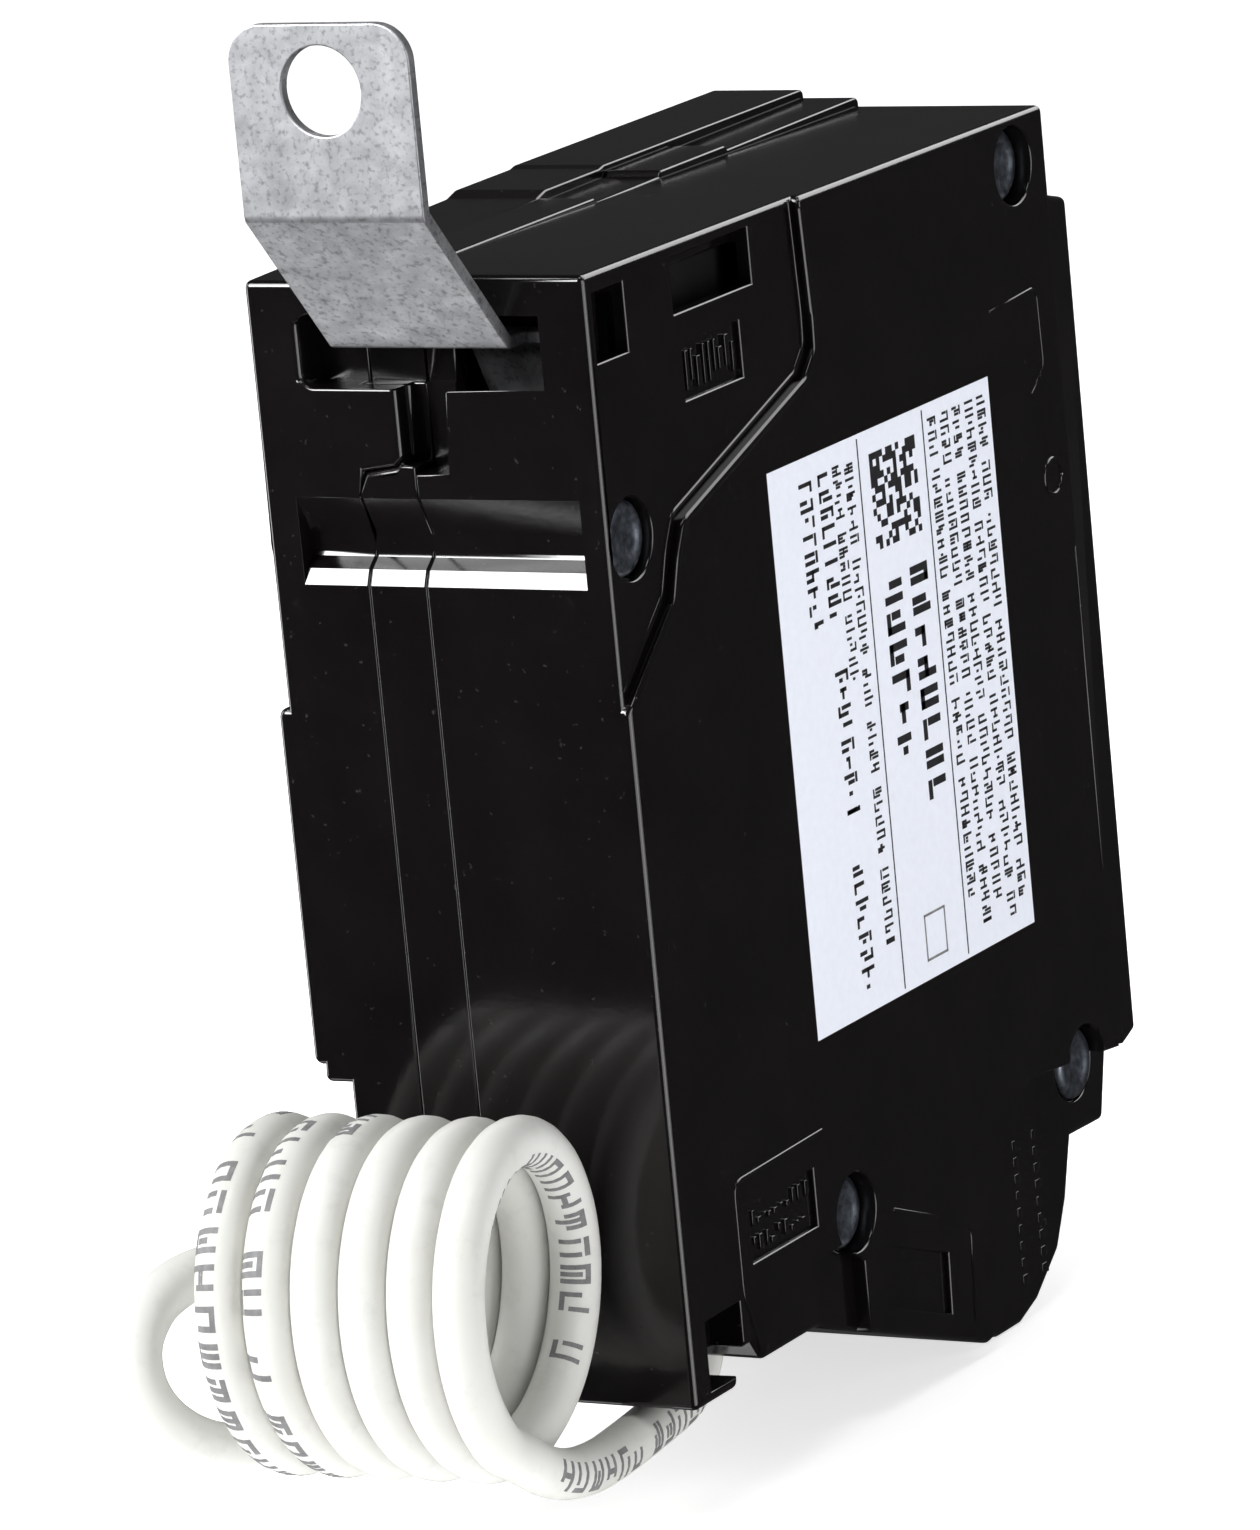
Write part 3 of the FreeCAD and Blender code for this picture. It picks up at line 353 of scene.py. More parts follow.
def tab_metal():
    """Tin plate, satin, with long fine draw scratches and dark handling marks."""
    finish = Finish("tab_metal", Metallic=1.0)
    dull = (0.60, 0.61, 0.64)
    bright = (0.84, 0.85, 0.88)
    clouds = finish.ramp(finish.noise(330, 7, 0.72, distortion=0.8), (0.30, dull), (0.66, bright))
    pits = finish.ramp(finish.noise(2600, 3, 0.6), (0.33, 0.45), (0.48, 1.0))
    scratches = finish.noise(260, 7, 0.85, along=(7.0, 1.0, 1.4))
    marks = finish.ramp(scratches, (0.28, 0.5), (0.40, 1.0))
    pitted = finish.mix("MULTIPLY", 0.7, clouds, pits)
    finish.colour(finish.mix("MULTIPLY", 0.6, pitted, marks))
    finish.roughness(finish.ramp(finish.noise(700, 4, 0.6), (0.3, 0.46), (0.7, 0.60)))
    finish.bump(finish.noise(2400, 3, 0.6), 0.22, 0.03 * MM)
    finish.bump(finish.noise(500, 4, 0.6, along=(6.0, 1.0, 1.0)), 0.2, 0.03 * MM)
    return finish.material


def silver_contact():
    return plated("silver_contact", (0.55, 0.54, 0.50), (0.86, 0.85, 0.80), mottle=900)


def arc_steel():
    return plated("arc_steel", (0.32, 0.30, 0.29), (0.52, 0.51, 0.50), brushed=(1.0, 8.0, 1.0))


def arc_fibre():
    """Hardened fibre board, painted near black to stand for the shade inside the case that shows
    through the label face's windows.
    """
    # painted shade: the near-black colour stands for the shaded inside of the case, not the board's
    # own colour
    return moulded("arc_fibre", (0.005, 0.005, 0.005), (0.010, 0.009, 0.009), rough=(0.5, 0.7))


def handle_plastic():
    return moulded("handle_plastic", (0.012, 0.012, 0.013), (0.022, 0.022, 0.023), rough=(0.22, 0.4))


def pin_steel():
    return plated("pin_steel", (0.45, 0.45, 0.46), (0.72, 0.72, 0.73), brushed=(1.0, 12.0, 12.0))


def arm_copper():
    return plated("arm_copper", (0.52, 0.23, 0.13), (0.80, 0.42, 0.28), brushed=(1.0, 6.0, 1.0))


def mechanism_steel():
    return plated("mechanism_steel", (0.50, 0.47, 0.36), (0.76, 0.72, 0.58), mottle=300)


def spring_steel():
    return plated("spring_steel", (0.35, 0.35, 0.37), (0.62, 0.62, 0.65), mottle=1200)


def bimetal():
    return plated("bimetal", (0.45, 0.42, 0.38), (0.70, 0.66, 0.60), brushed=(1.0, 1.0, 9.0))


def screw_brass():
    return plated("screw_brass", (0.52, 0.36, 0.12), (0.82, 0.62, 0.28), mottle=600)


def braid_copper():
    """Woven braid: small raised lozenges of crossing strands, with painted highlight on their tops
    and painted shade between them.
    """
    finish = Finish("braid_copper", Metallic=1.0)
    weave = finish.noise(1400, 2, 0.4, along=(1.0, 3.0, 0.6))
    # painted highlight and shade: the colour follows the weave's height, lighter on the strands' tops
    # and darker between them
    finish.colour(finish.ramp(weave, (0.3, (0.32, 0.13, 0.07)), (0.7, (0.82, 0.44, 0.28))))
    finish.roughness(finish.ramp(finish.noise(600), (0.3, 0.35), (0.7, 0.55)))
    finish.bump(weave, 0.8, 0.12 * MM)
    return finish.material


def strap_copper():
    return plated("strap_copper", (0.55, 0.26, 0.15), (0.84, 0.47, 0.32), brushed=(1.0, 1.0, 7.0))


def lug_metal():
    return plated("lug_metal", (0.58, 0.59, 0.60), (0.82, 0.83, 0.85), mottle=260)


def terminal_screw():
    return plated("terminal_screw", (0.42, 0.40, 0.34), (0.72, 0.70, 0.62), mottle=520)


def board_laminate():
    """Green solder mask with the glass weave and the tracks showing faintly through."""
    finish = Finish("board_laminate")
    track_green = (0.012, 0.10, 0.045)
    mask_green = (0.006, 0.055, 0.028)
    tracks = finish.ramp(finish.cells(210), (0.10, track_green), (0.22, mask_green))
    weave = finish.ramp(finish.noise(1600, 2, along=(1.0, 3.0, 1.0)), (0.35, 0.82), (0.65, 1.0))
    finish.colour(finish.mix("MULTIPLY", 0.8, tracks, weave))
    finish.roughness(finish.ramp(finish.noise(500), (0.3, 0.22), (0.7, 0.36)))
    finish.bump(finish.cells(210), 0.3, 0.05 * MM)
    return finish.material


def chip_black():
    return moulded("chip_black", (0.014, 0.014, 0.015), (0.028, 0.028, 0.030), rough=(0.5, 0.7))


def capacitor_sleeve():
    dark = (0.010, 0.018, 0.060)
    light = (0.020, 0.032, 0.100)
    return moulded("capacitor_sleeve", dark, light, rough=(0.25, 0.4))


def resistor_body():
    return moulded("resistor_body", (0.46, 0.36, 0.22), (0.62, 0.50, 0.33), rough=(0.35, 0.5))


def varistor_epoxy():
    return moulded("varistor_epoxy", (0.02, 0.06, 0.30), (0.035, 0.10, 0.42), rough=(0.3, 0.5))


def core_ferrite():
    return moulded("core_ferrite", (0.025, 0.024, 0.024), (0.055, 0.053, 0.052), rough=(0.55, 0.75))


def winding_copper():
    """Enamelled wire laid turn by turn: fine parallel ridges, with painted shade darker in the
    grooves between the turns and lighter on their crests.
    """
    finish = Finish("winding_copper", Metallic=1.0, Coat_Weight=0.4)
    turns = finish.add("ShaderNodeTexWave", bands_direction="Z")
    turns.inputs["Scale"].default_value = 700
    turns.inputs["Distortion"].default_value = 0.6
    finish.wire(finish.place, turns.inputs["Vector"])
    ridges = turns.outputs["Fac"]
    # painted shade: the colour follows the ridges' height, darker in the grooves between turns and
    # lighter on the crests
    finish.colour(finish.ramp(ridges, (0.2, (0.24, 0.08, 0.035)), (0.8, (0.72, 0.32, 0.16))))
    finish.roughness(finish.ramp(finish.noise(500), (0.3, 0.25), (0.7, 0.4)))
    finish.bump(ridges, 0.7, 0.1 * MM)
    return finish.material


def button_plastic():
    dark = (0.70, 0.70, 0.66)
    light = (0.80, 0.80, 0.76)
    return moulded("button_plastic", dark, light, rough=(0.28, 0.42), dust=0.0)


def led():
    return moulded("led", (0.45, 0.03, 0.02), (0.60, 0.06, 0.04), rough=(0.1, 0.2), dust=0.0)


def light_pipe():
    """Clear moulded acrylic with faint flow swirls."""
    finish = Finish("light_pipe", Transmission_Weight=0.9, IOR=1.49)
    tinted = (0.80, 0.84, 0.82)
    clear = (0.93, 0.95, 0.94)
    finish.colour(finish.ramp(finish.noise(300, 3), (0.3, tinted), (0.7, clear)))
    finish.roughness(finish.ramp(finish.noise(500), (0.3, 0.08), (0.7, 0.2)))
    finish.bump(finish.noise(260, 2), 0.1, 0.05 * MM)
    return finish.material


def lead_copper():
    return plated("lead_copper", (0.55, 0.26, 0.15), (0.84, 0.47, 0.32), mottle=1400)


def grommet():
    return moulded("grommet", (0.016, 0.016, 0.017), (0.030, 0.030, 0.031), rough=(0.45, 0.65))


FINISHES = [
    case_black, rivet_steel, label_paper, front_label, tab_metal, silver_contact, arc_steel,
    arc_fibre, handle_plastic, pin_steel, arm_copper, mechanism_steel, spring_steel, bimetal,
    screw_brass, braid_copper, strap_copper, lug_metal, terminal_screw, board_laminate, chip_black,
    capacitor_sleeve, resistor_body, varistor_epoxy, core_ferrite, winding_copper, button_plastic,
    led, light_pipe, grommet,
]


def finish_nodes(materials):
    """Every CAD node takes the material of its slot in the record."""
    for part in frame["record"]["subparts"]:
        slots = frame["nodes"][part["node"]].data.materials
        if part["material_slot"] in materials:
            slots.clear()
            slots.append(materials[part["material_slot"]])


# ---------------------------------------------------------------- mesh helpers


def piece(name, bm, material, slot, *nodes):
    """A finished mesh that rides on the case and may stand for CAD nodes."""
    mesh = bpy.data.meshes.new(name)
    bm.to_mesh(mesh)
    bm.free()
    mesh.materials.append(material)
    made = bpy.data.objects.new(name, mesh)
    bpy.context.scene.collection.objects.link(made)
    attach(made, "case")
    if nodes:
        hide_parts(*nodes)
    return made


def smooth(made):
    for polygon in made.data.polygons:
        polygon.use_smooth = True


def weight_normals(made):
    weighted = made.modifiers.new("even_flats", "WEIGHTED_NORMAL")
    weighted.keep_sharp = True


def smooth_with_flats(made):
    """Round edges shade smoothly and the flats between them stay flat."""
    smooth(made)
    weight_normals(made)


def bar(bm, low, high, bevel=0.0):
    """A small bar between two corners, in case millimetres, its edges eased only when a bevel is
    given.
    """
    verts = []
    for corner in itertools.product(*zip(low, high)):
        verts.append(bm.verts.new(spot(*corner)))
    faces = [(0, 1, 3, 2), (4, 6, 7, 5), (0, 4, 5, 1), (2, 3, 7, 6), (0, 2, 6, 4), (1, 5, 7, 3)]
    made = [bm.faces.new([verts[i] for i in face]) for face in faces]
    if bevel:
        edges = list({edge for face in made for edge in face.edges})
        bmesh.ops.bevel(bm, geom=edges, offset=bevel * MM, segments=2, profile=0.5, affect="EDGES")


def turned(bm, centre, way, profile, steps=40):
    """A turned shape about an axis along X, pointing along +X or -X by its way of 1 or -1.

    The profile is (radius, height) from its foot up. Each end closes in one flat face, so a profile
    starts and ends near the axis.
    """
    rings = []
    for radius, height in profile:
        ring = []
        for step in range(steps):
            angle = FULL_TURN * step / steps * way
            x, y, z = centre
            place = spot(x + way * height, y + radius * math.cos(angle), z + radius * math.sin(angle))
            ring.append(bm.verts.new(place))
        rings.append(ring)
    for low, high in zip(rings, rings[1:]):
        for i in range(steps):
            j = (i + 1) % steps
            bm.faces.new((low[i], low[j], high[j], high[i]))
    bm.faces.new(reversed(rings[0]))
    bm.faces.new(rings[-1])


RIDGE_SECTION = [
    # across by the ridge's width, up by its height
    (-0.5, -0.15),
    (-0.5, 0.0),
    (-0.32, 0.7),
    (0.0, 1.0),
    (0.32, 0.7),
    (0.5, 0.0),
    (0.5, -0.15),
]


def ridge(bm, level, path, width, height):
    """A low rounded ridge on a face at x = level, along a line of (y, z) places."""
    rings = []
    for index, (y, z) in enumerate(path):
        before = Vector(path[max(index - 1, 0)])
        after = Vector(path[min(index + 1, len(path) - 1)])
        along = (after - before).normalized()
        side = Vector((-along.y, along.x))
        ring = []
        for across, up in RIDGE_SECTION:
            place = Vector((y, z)) + side * across * width
            ring.append(bm.verts.new(spot(level + up * height, place.x, place.y)))
        rings.append(ring)
    count = len(RIDGE_SECTION)
    for low, high in zip(rings, rings[1:]):
        for i in range(count):
            j = (i + 1) % count
            bm.faces.new((low[i], high[i], high[j], low[j]))
    bm.faces.new(rings[0])
    bm.faces.new(reversed(rings[-1]))


def rounded_path(corners, radius, steps=4):
    """A line of (y, z) places through the corners, each inner one rounded off."""
    path = [Vector(corners[0])]
    for before, corner, after in zip(corners, corners[1:], corners[2:]):
        corner = Vector(corner)
        start = corner + (Vector(before) - corner).normalized() * radius
        end = corner + (Vector(after) - corner).normalized() * radius
        for step in range(steps + 1):
            t = step / steps
            path.append(start.lerp(corner, t).lerp(corner.lerp(end, t), t))
    path.append(Vector(corners[-1]))
    return path


# ---------------------------------------------------------------- case shells

OUTLINE_RADIUS = 0.45
FEATURE_RADIUS = 0.18
OUTLINE_STEPS = 5
FEATURE_STEPS = 3
NARROWEST_OUTLINE = 1.5
NARROWEST_FEATURE = 0.39
WIDEST_STRIP = 0.2
RAY_INSET = 0.2
RAY_LIFT = 0.02
FLAT = math.radians(0.5)
CREASE = math.radians(12)
OUTLINE_BEND = math.radians(20)
SHARP = math.radians(35)
LEFT_PARTING = -5.05
RIGHT_PARTING = -0.95
PARTING_TOLERANCE = 0.01


def wall_width(face, edge):
    """How far a face reaches from one of its edges."""
    start = edge.verts[0].co
    along = (edge.verts[1].co - start).normalized()
    return max((vert.co - start).cross(along).length for vert in face.verts)


def narrowest(edge):
    """The reach of the narrower of an edge's faces."""
    return min(wall_width(face, edge) for face in edge.link_faces)


def bend(edge):
    """The angle between an edge's two faces, and 0 where it hasn't two."""
    return edge.calc_face_angle(0.0)


def faces_outside(face, edge, tree):
    """Whether nothing of the shell stands in front of a face beside one of its edges."""
    middle = (edge.verts[0].co + edge.verts[1].co) / 2
    inward = (face.calc_center_median() - middle).normalized()
    start = middle + inward * RAY_INSET * MM + face.normal * RAY_LIFT * MM
    return tree.ray_cast(start, face.normal)[0] is None


def on_outline(edge, tree):
    """Whether an edge lies on the shell's outside, where the mould leaves a larger radius."""
    if not edge.is_convex or narrowest(edge) < NARROWEST_OUTLINE * MM:
        return False
    return all(faces_outside(face, edge, tree) for face in edge.link_faces)


def sharpest_end(edge):
    """The smallest angle that an edge makes with its neighbours round its two faces."""
    angles = []
    for loop in edge.link_loops:
        angles.append(loop.calc_angle())
        angles.append(loop.link_loop_next.calc_angle())
    return min(angles)


def clean_copy(node):
    """The node's mesh with its triangles joined into whole faces.

    A face with a hole keeps a cut from the hole to its rim. The cuts that meet a rim at the
    smallest angles go first, so the ones that stay keep clear of the rounded edges.
    """
    bm = bmesh.new()
    bm.from_mesh(frame["nodes"][node].data)
    bmesh.ops.remove_doubles(bm, verts=bm.verts, dist=WELD_DISTANCE)
    flat = [edge for edge in bm.edges if edge.is_manifold and bend(edge) < FLAT]
    bmesh.ops.beautify_fill(bm, faces=bm.faces, edges=flat, method="ANGLE")
    flat = [edge for edge in bm.edges if edge.is_manifold and bend(edge) < FLAT]
    for edge in sorted(flat, key=sharpest_end):
        if edge.is_valid and len(edge.link_faces) == 2:
            bmesh.utils.face_join(edge.link_faces)
    bmesh.ops.dissolve_limit(bm, angle_limit=FLAT, verts=bm.verts, edges=[])
    return bm


def ease(bm, edges, radius, steps):
    """Round edges off by a radius in millimetres."""
    bmesh.ops.bevel(bm, geom=edges, offset=radius * MM, offset_type="OFFSET", segments=steps,
                    profile=0.5, affect="EDGES", clamp_overlap=False, miter_outer="ARC")


def lies_at(edge, x):
    """Whether an edge lies in the plane at x, in case millimetres."""
    plane = spot(x, 0, 0).x
    return all(abs(vert.co.x - plane) < PARTING_TOLERANCE * MM for vert in edge.verts)


def mark_creases(bm):
    """Sharp edges between the broad flats, and none beside the narrow strips of a rounding."""
    for edge in bm.edges:
        edge.smooth = bend(edge) < CREASE or narrowest(edge) < WIDEST_STRIP * MM


def dress_shell(node, material, parting_planes):
    """A copy of a moulded shell with its outside rounded and its small features eased."""
    bm = clean_copy(node)
    tree = BVHTree.FromBMesh(bm)
    outline = []
    for edge in bm.edges:
        parted = any(lies_at(edge, x) for x in parting_planes)
        if bend(edge) > OUTLINE_BEND and not parted and on_outline(edge, tree):
            outline.append(edge)
    ease(bm, outline, OUTLINE_RADIUS, OUTLINE_STEPS)
    features = []
    for edge in bm.edges:
        if bend(edge) > SHARP and edge.is_convex and narrowest(edge) > NARROWEST_FEATURE * MM:
            features.append(edge)
    ease(bm, features, FEATURE_RADIUS, FEATURE_STEPS)
    mark_creases(bm)
    made = piece(node + "_dressed", bm, material, "case_black", node)
    smooth_with_flats(made)
    return made


# ---------------------------------------------------------------- stage

SOFTBOXES = [
    # azimuth, elevation, distance, width, height, power
    (-42.0, 43.0, 0.55, 0.18, 0.24, 2.5),
    (-30.0, 25.0, 0.60, 0.22, 0.22, 1.42),
    (82.0, 5.0, 0.60, 0.30, 0.60, 1.2),
    (-85.0, 10.0, 0.60, 0.08, 0.60, 0.6),
    (30.0, 75.0, 0.60, 0.20, 0.20, 0.7),
    (-76.0, -59.0, 0.45, 0.16, 0.16, 0.16),
]
EDGE_CARDS = [
    # broad cards that only the glossy black mouldings mirror, so that their edges draw bright lines
    (-33.0, 26.0, 0.55, 0.30, 0.12, 3.0),
    (63.0, -6.0, 0.60, 0.35, 0.60, 2.2),
    (155.0, 42.0, 0.60, 0.60, 0.50, 4.5),
    (-85.0, 5.0, 0.60, 0.25, 0.60, 2.0),
]
WORLD_STRENGTH = 0.05
FLOOR_GLOW = 0.68
FLOOR_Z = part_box("case_middle_frame")[0].z
FLOOR_NEAR = -3.0
FLOOR_FAR = 1.2
FLOOR_HALF_WIDTH = 4.0
SWEEP_RADIUS = 0.6
SWEEP_STEPS = 12
BACKDROP_HEIGHT = 4.0


def make_lights(name, places, lit=None):
    """Area lamps round the object; with lit, they only light the pieces of that collection."""
    for number, (azimuth, elevation, distance, width, height, power) in enumerate(places):
        data = bpy.data.lights.new(f"{name}_{number}", "AREA")
        data.shape = "RECTANGLE"
        data.size = width
        data.size_y = height
        data.energy = power
        lamp = bpy.data.objects.new(f"{name}_{number}", data)
        away = outward(math.radians(azimuth), math.radians(elevation))
        turn = (-away).to_track_quat("-Z", "Y").to_matrix().to_4x4()
        lamp.matrix_world = Matrix.Translation(AIM + away * distance) @ turn
        bpy.context.scene.collection.objects.link(lamp)
        if lit is not None:
            lamp.light_linking.receiver_collection = lit
            lamp.visible_diffuse = False


def gather(name, made):
    """A collection of pieces for the lamps to be linked to."""
    group = bpy.data.collections.new(name)
    for item in made:
        group.objects.link(item)
    return group


def make_world():
    """A dim white surround."""
    world = bpy.data.worlds.new("studio")
    world.use_nodes = True
    background = world.node_tree.nodes["Background"]
    background.inputs["Color"].default_value = (1.0, 1.0, 1.0, 1.0)
    background.inputs["Strength"].default_value = WORLD_STRENGTH
    bpy.context.scene.world = world


def make_floor():
    """A pale floor that runs up into a backdrop in one sweep."""
    mesh = bpy.data.meshes.new("floor")
    profile = [(FLOOR_NEAR, 0.0), (FLOOR_FAR, 0.0)]
    for step in range(1, SWEEP_STEPS + 1):
        angle = math.radians(90 * step / SWEEP_STEPS)
        along = FLOOR_FAR + SWEEP_RADIUS * math.sin(angle)
        profile.append((along, SWEEP_RADIUS * (1 - math.cos(angle))))
    profile.append((FLOOR_FAR + SWEEP_RADIUS, BACKDROP_HEIGHT))
    towards = outward(CAMERA_AZIMUTH, 0.0)
    across = Vector((towards.y, -towards.x, 0.0))
    vertices = []
    for along, up in profile:
        for side in (-FLOOR_HALF_WIDTH, FLOOR_HALF_WIDTH):
            vertices.append(-towards * along + across * side + Vector((0, 0, FLOOR_Z + up)))
    faces = [(2 * i, 2 * i + 1, 2 * i + 3, 2 * i + 2) for i in range(len(profile) - 1)]
    mesh.from_pydata(vertices, [], faces)
    floor = bpy.data.objects.new("floor", mesh)
    smooth(floor)
    finish = Finish("floor_paint", Roughness=0.8, Emission_Strength=FLOOR_GLOW)
    finish.colour(finish.ramp(finish.noise(9, 3, 0.5), (0.3, 0.90), (0.7, 0.94)))
    finish.shader.inputs["Emission Color"].default_value = (1.0, 1.0, 1.0, 1.0)
    mesh.materials.append(finish.material)
    bpy.context.scene.collection.objects.link(floor)
    floor.visible_glossy = False
    floor.visible_shadow = False


# ---------------------------------------------------------------- strands at the tail


STRIPPED_LENGTH = 8.0
STRAND_RADIUS = 0.2
STRAND_RINGS = [
    # radius of the ring of strands, and how many it holds
    (0.0, 1),
    (0.42, 6),
    (0.82, 12),
]
STRAND_TWIST = 0.35
STRAND_STEPS = 12
STRAND_CORNERS = 8


def around(radius, turns, height):
    """A place in millimetres by radius, part of a turn and height."""
    angle = FULL_TURN * turns
    return Vector((radius * math.cos(angle), radius * math.sin(angle), height)) * MM


def add_strand(bm, place, ring, start_turns):
    """One twisted strand of the bundle that stands along Z at its place."""
    circles = []
    for step in range(STRAND_STEPS + 1):
        t = step / STRAND_STEPS
        centre = around(ring, start_turns + STRAND_TWIST * t, STRIPPED_LENGTH * t)
        circle = []
        for corner in range(STRAND_CORNERS):
            offset = around(STRAND_RADIUS, corner / STRAND_CORNERS, 0.0)
            circle.append(bm.verts.new(place @ (centre + offset)))
        circles.append(circle)
    for low, high in zip(circles, circles[1:]):
        for i in range(STRAND_CORNERS):
            j = (i + 1) % STRAND_CORNERS
            bm.faces.new((low[i], low[j], high[j], high[i]))
    bm.faces.new(circles[-1])
    bm.faces.new(reversed(circles[0]))


def make_strands(material):
    """The twisted copper strands that show where the tail's insulation is stripped."""
    tail_end = spot(*TAIL_ROUTE[-1])
    along = (tail_end - spot(*TAIL_ROUTE[-2])).normalized()
    place = Matrix.Translation(tail_end) @ along.to_track_quat("Z", "Y").to_matrix().to_4x4()
    bm = bmesh.new()
    for ring, count in STRAND_RINGS:
        for number in range(count):
            add_strand(bm, place, ring, number / count)
    strands = piece("bare_strands", bm, material, "lead_copper", "pigtail_bare_end")
    smooth(strands)
    return strands


# ---------------------------------------------------------------- rivets

RIVET_RIGHT = 11.8
RIVET_LEFT = -11.6
RIVET_LEFT_SHORT = -10.0
RIVETS = [
    # y and z, and the left end's x: the last one's well is the deepest on that side
    (56.0, -3.6, RIVET_LEFT),
    (3.0, -16.9, RIVET_LEFT),
    (55.8, -64.4, RIVET_LEFT),
    (22.5, -65.2, RIVET_LEFT_SHORT),
]
AXIS_RADIUS = 0.01
HEAD_HEIGHT = 0.9
HEAD_PROFILE = [
    # radius and height from the head's foot, over the rolled rim and into the dish
    (AXIS_RADIUS, 0.0),
    (2.25, 0.0),
    (2.38, 0.12),
    (2.42, 0.40),
    (2.34, 0.64),
    (2.12, 0.82),
    (1.82, HEAD_HEIGHT),
    (1.56, 0.88),
    (1.42, 0.78),
    (1.06, 0.70),
    (0.52, 0.67),
    (AXIS_RADIUS, 0.66),
]
SHANK_RADIUS = 1.4
SHANK_STEPS = 24


def make_rivets(material):
    """Peened rivets: a rolled rim round a shallow dish on both faces, on one shank each."""
    bm = bmesh.new()
    for y, z, left in RIVETS:
        right_foot = (RIVET_RIGHT - HEAD_HEIGHT, y, z)
        left_foot = (left + HEAD_HEIGHT, y, z)
        length = right_foot[0] - left_foot[0]
        shank = [
            (AXIS_RADIUS, 0.0),
            (SHANK_RADIUS, 0.0),
            (SHANK_RADIUS, length),
            (AXIS_RADIUS, length),
        ]
        turned(bm, right_foot, 1, HEAD_PROFILE)
        turned(bm, left_foot, -1, HEAD_PROFILE)
        turned(bm, left_foot, 1, shank, steps=SHANK_STEPS)
    rivets = piece("rivets_peened", bm, material, "rivet_steel", "case_rivets")
    for polygon in rivets.data.polygons:
        polygon.use_smooth = len(polygon.vertices) == 4
    return rivets


# ---------------------------------------------------------------- relief on the label face

LABEL_FACE = 12.7
STEP_FACE = 12.2
SKIRT_FACE = 11.5
STEP_LINE = [
    (26.9, -0.9),
    (27.3, -8.0),
    (27.2, -10.2),
    (25.7, -11.7),
    (8.7, -17.1),
    (7.6, -19.0),
    (6.6, -21.8),
    (0.9, -26.5),
]
STEP_FOOT = 0.62
STEP_RADIUS = 0.5
PANEL_LINE = [(18.9, -58.8), (7.2, -59.0), (7.2, -66.4), (8.8, -70.3)]
FRONT_LINE = [(50.9, -12.4), (57.7, -12.0), (57.9, -17.5), (55.8, -18.8)]
SKIRT_LINE = [(27.3, -66.4), (37.5, -70.2), (37.0, -76.6)]
ESCUTCHEON_LINE = [(60.2, -30.0), (60.2, -40.0), (60.2, -52.0)]
RING_CENTRE = (57.9, -24.8)
RING_RADIUS = 1.2
RING_STEPS = 24
DATE_TAG = ((11.8, 18.3), (-9.5, -7.0))
LOAD_TAG_Y = (9.4, 16.9)
LOAD_TAG_ROWS = [(-62.4, -61.4), (-64.1, -63.1)]
SKIRT_MARK_COLUMNS = [46.2, 49.0]
SKIRT_MARKS = 9
SKIRT_MARK_START = -67.2
SKIRT_MARK_PITCH = 1.15
SKIRT_MARK_LENGTH = 0.7
BAR_ROOT = 0.05


def code_bars(bm, floor_x, top_x, y_range, z_range, rng):
    """A row of raised bars of uneven width, standing in for a moulded date tag."""
    y, end = y_range
    narrowest_bar = 0.25
    while y < end - narrowest_bar:
        width = rng.choice((0.28, 0.4, 0.55))
        low = z_range[0] + rng.choice((0.0, 0.0, 0.5))
        high = z_range[1] - rng.choice((0.0, 0.0, 0.6))
        bar(bm, (floor_x - BAR_ROOT, y, low), (top_x, min(y + width, end), high), bevel=0.06)
        y += width + rng.choice((0.3, 0.42))


def skirt_marks(bm, rng):
    """Two columns of short raised dashes on the load end's skirt."""
    for column in SKIRT_MARK_COLUMNS:
        for number in range(SKIRT_MARKS):
            z = SKIRT_MARK_START - SKIRT_MARK_PITCH * number
            low = (SKIRT_FACE - BAR_ROOT, column, z - SKIRT_MARK_LENGTH)
            high = (SKIRT_FACE + 0.06, column + rng.uniform(0.5, 1.0), z)
            bar(bm, low, high, bevel=0.04)


def ring_path():
    y, z = RING_CENTRE
    path = []
    for step in range(RING_STEPS + 1):
        angle = FULL_TURN * step / RING_STEPS
        path.append((y + RING_RADIUS * math.cos(angle), z + RING_RADIUS * math.sin(angle)))
    return path


def make_face_relief(material):
    """The raised tags, lines, ring and dashes moulded on the label side."""
    rng = random.Random(7)
    bm = bmesh.new()
    code_bars(bm, STEP_FACE - 0.4, STEP_FACE - 0.12, *DATE_TAG, rng)
    for row in LOAD_TAG_ROWS:
        code_bars(bm, LABEL_FACE - 0.4, LABEL_FACE - 0.18, LOAD_TAG_Y, row, rng)
    ridge(bm, LABEL_FACE, rounded_path(STEP_LINE, STEP_RADIUS), 0.62, 0.16)
    foot = [(y - STEP_FOOT, z + STEP_FOOT) for y, z in STEP_LINE]
    ridge(bm, STEP_FACE, rounded_path(foot, STEP_RADIUS), 0.30, 0.10)
    ridge(bm, LABEL_FACE, rounded_path(PANEL_LINE, 0.9), 0.34, 0.10)
    ridge(bm, LABEL_FACE, rounded_path(FRONT_LINE, 0.8), 0.26, 0.08)
    ridge(bm, LABEL_FACE, rounded_path(SKIRT_LINE, 0.9), 0.30, 0.09)
    ridge(bm, LABEL_FACE, ESCUTCHEON_LINE, 0.24, 0.08)
    ridge(bm, LABEL_FACE, ring_path(), 0.34, 0.12)
    skirt_marks(bm, rng)
    relief = piece("face_relief", bm, material, "case_black")
    smooth_with_flats(relief)
    return relief


# ---------------------------------------------------------------- label print

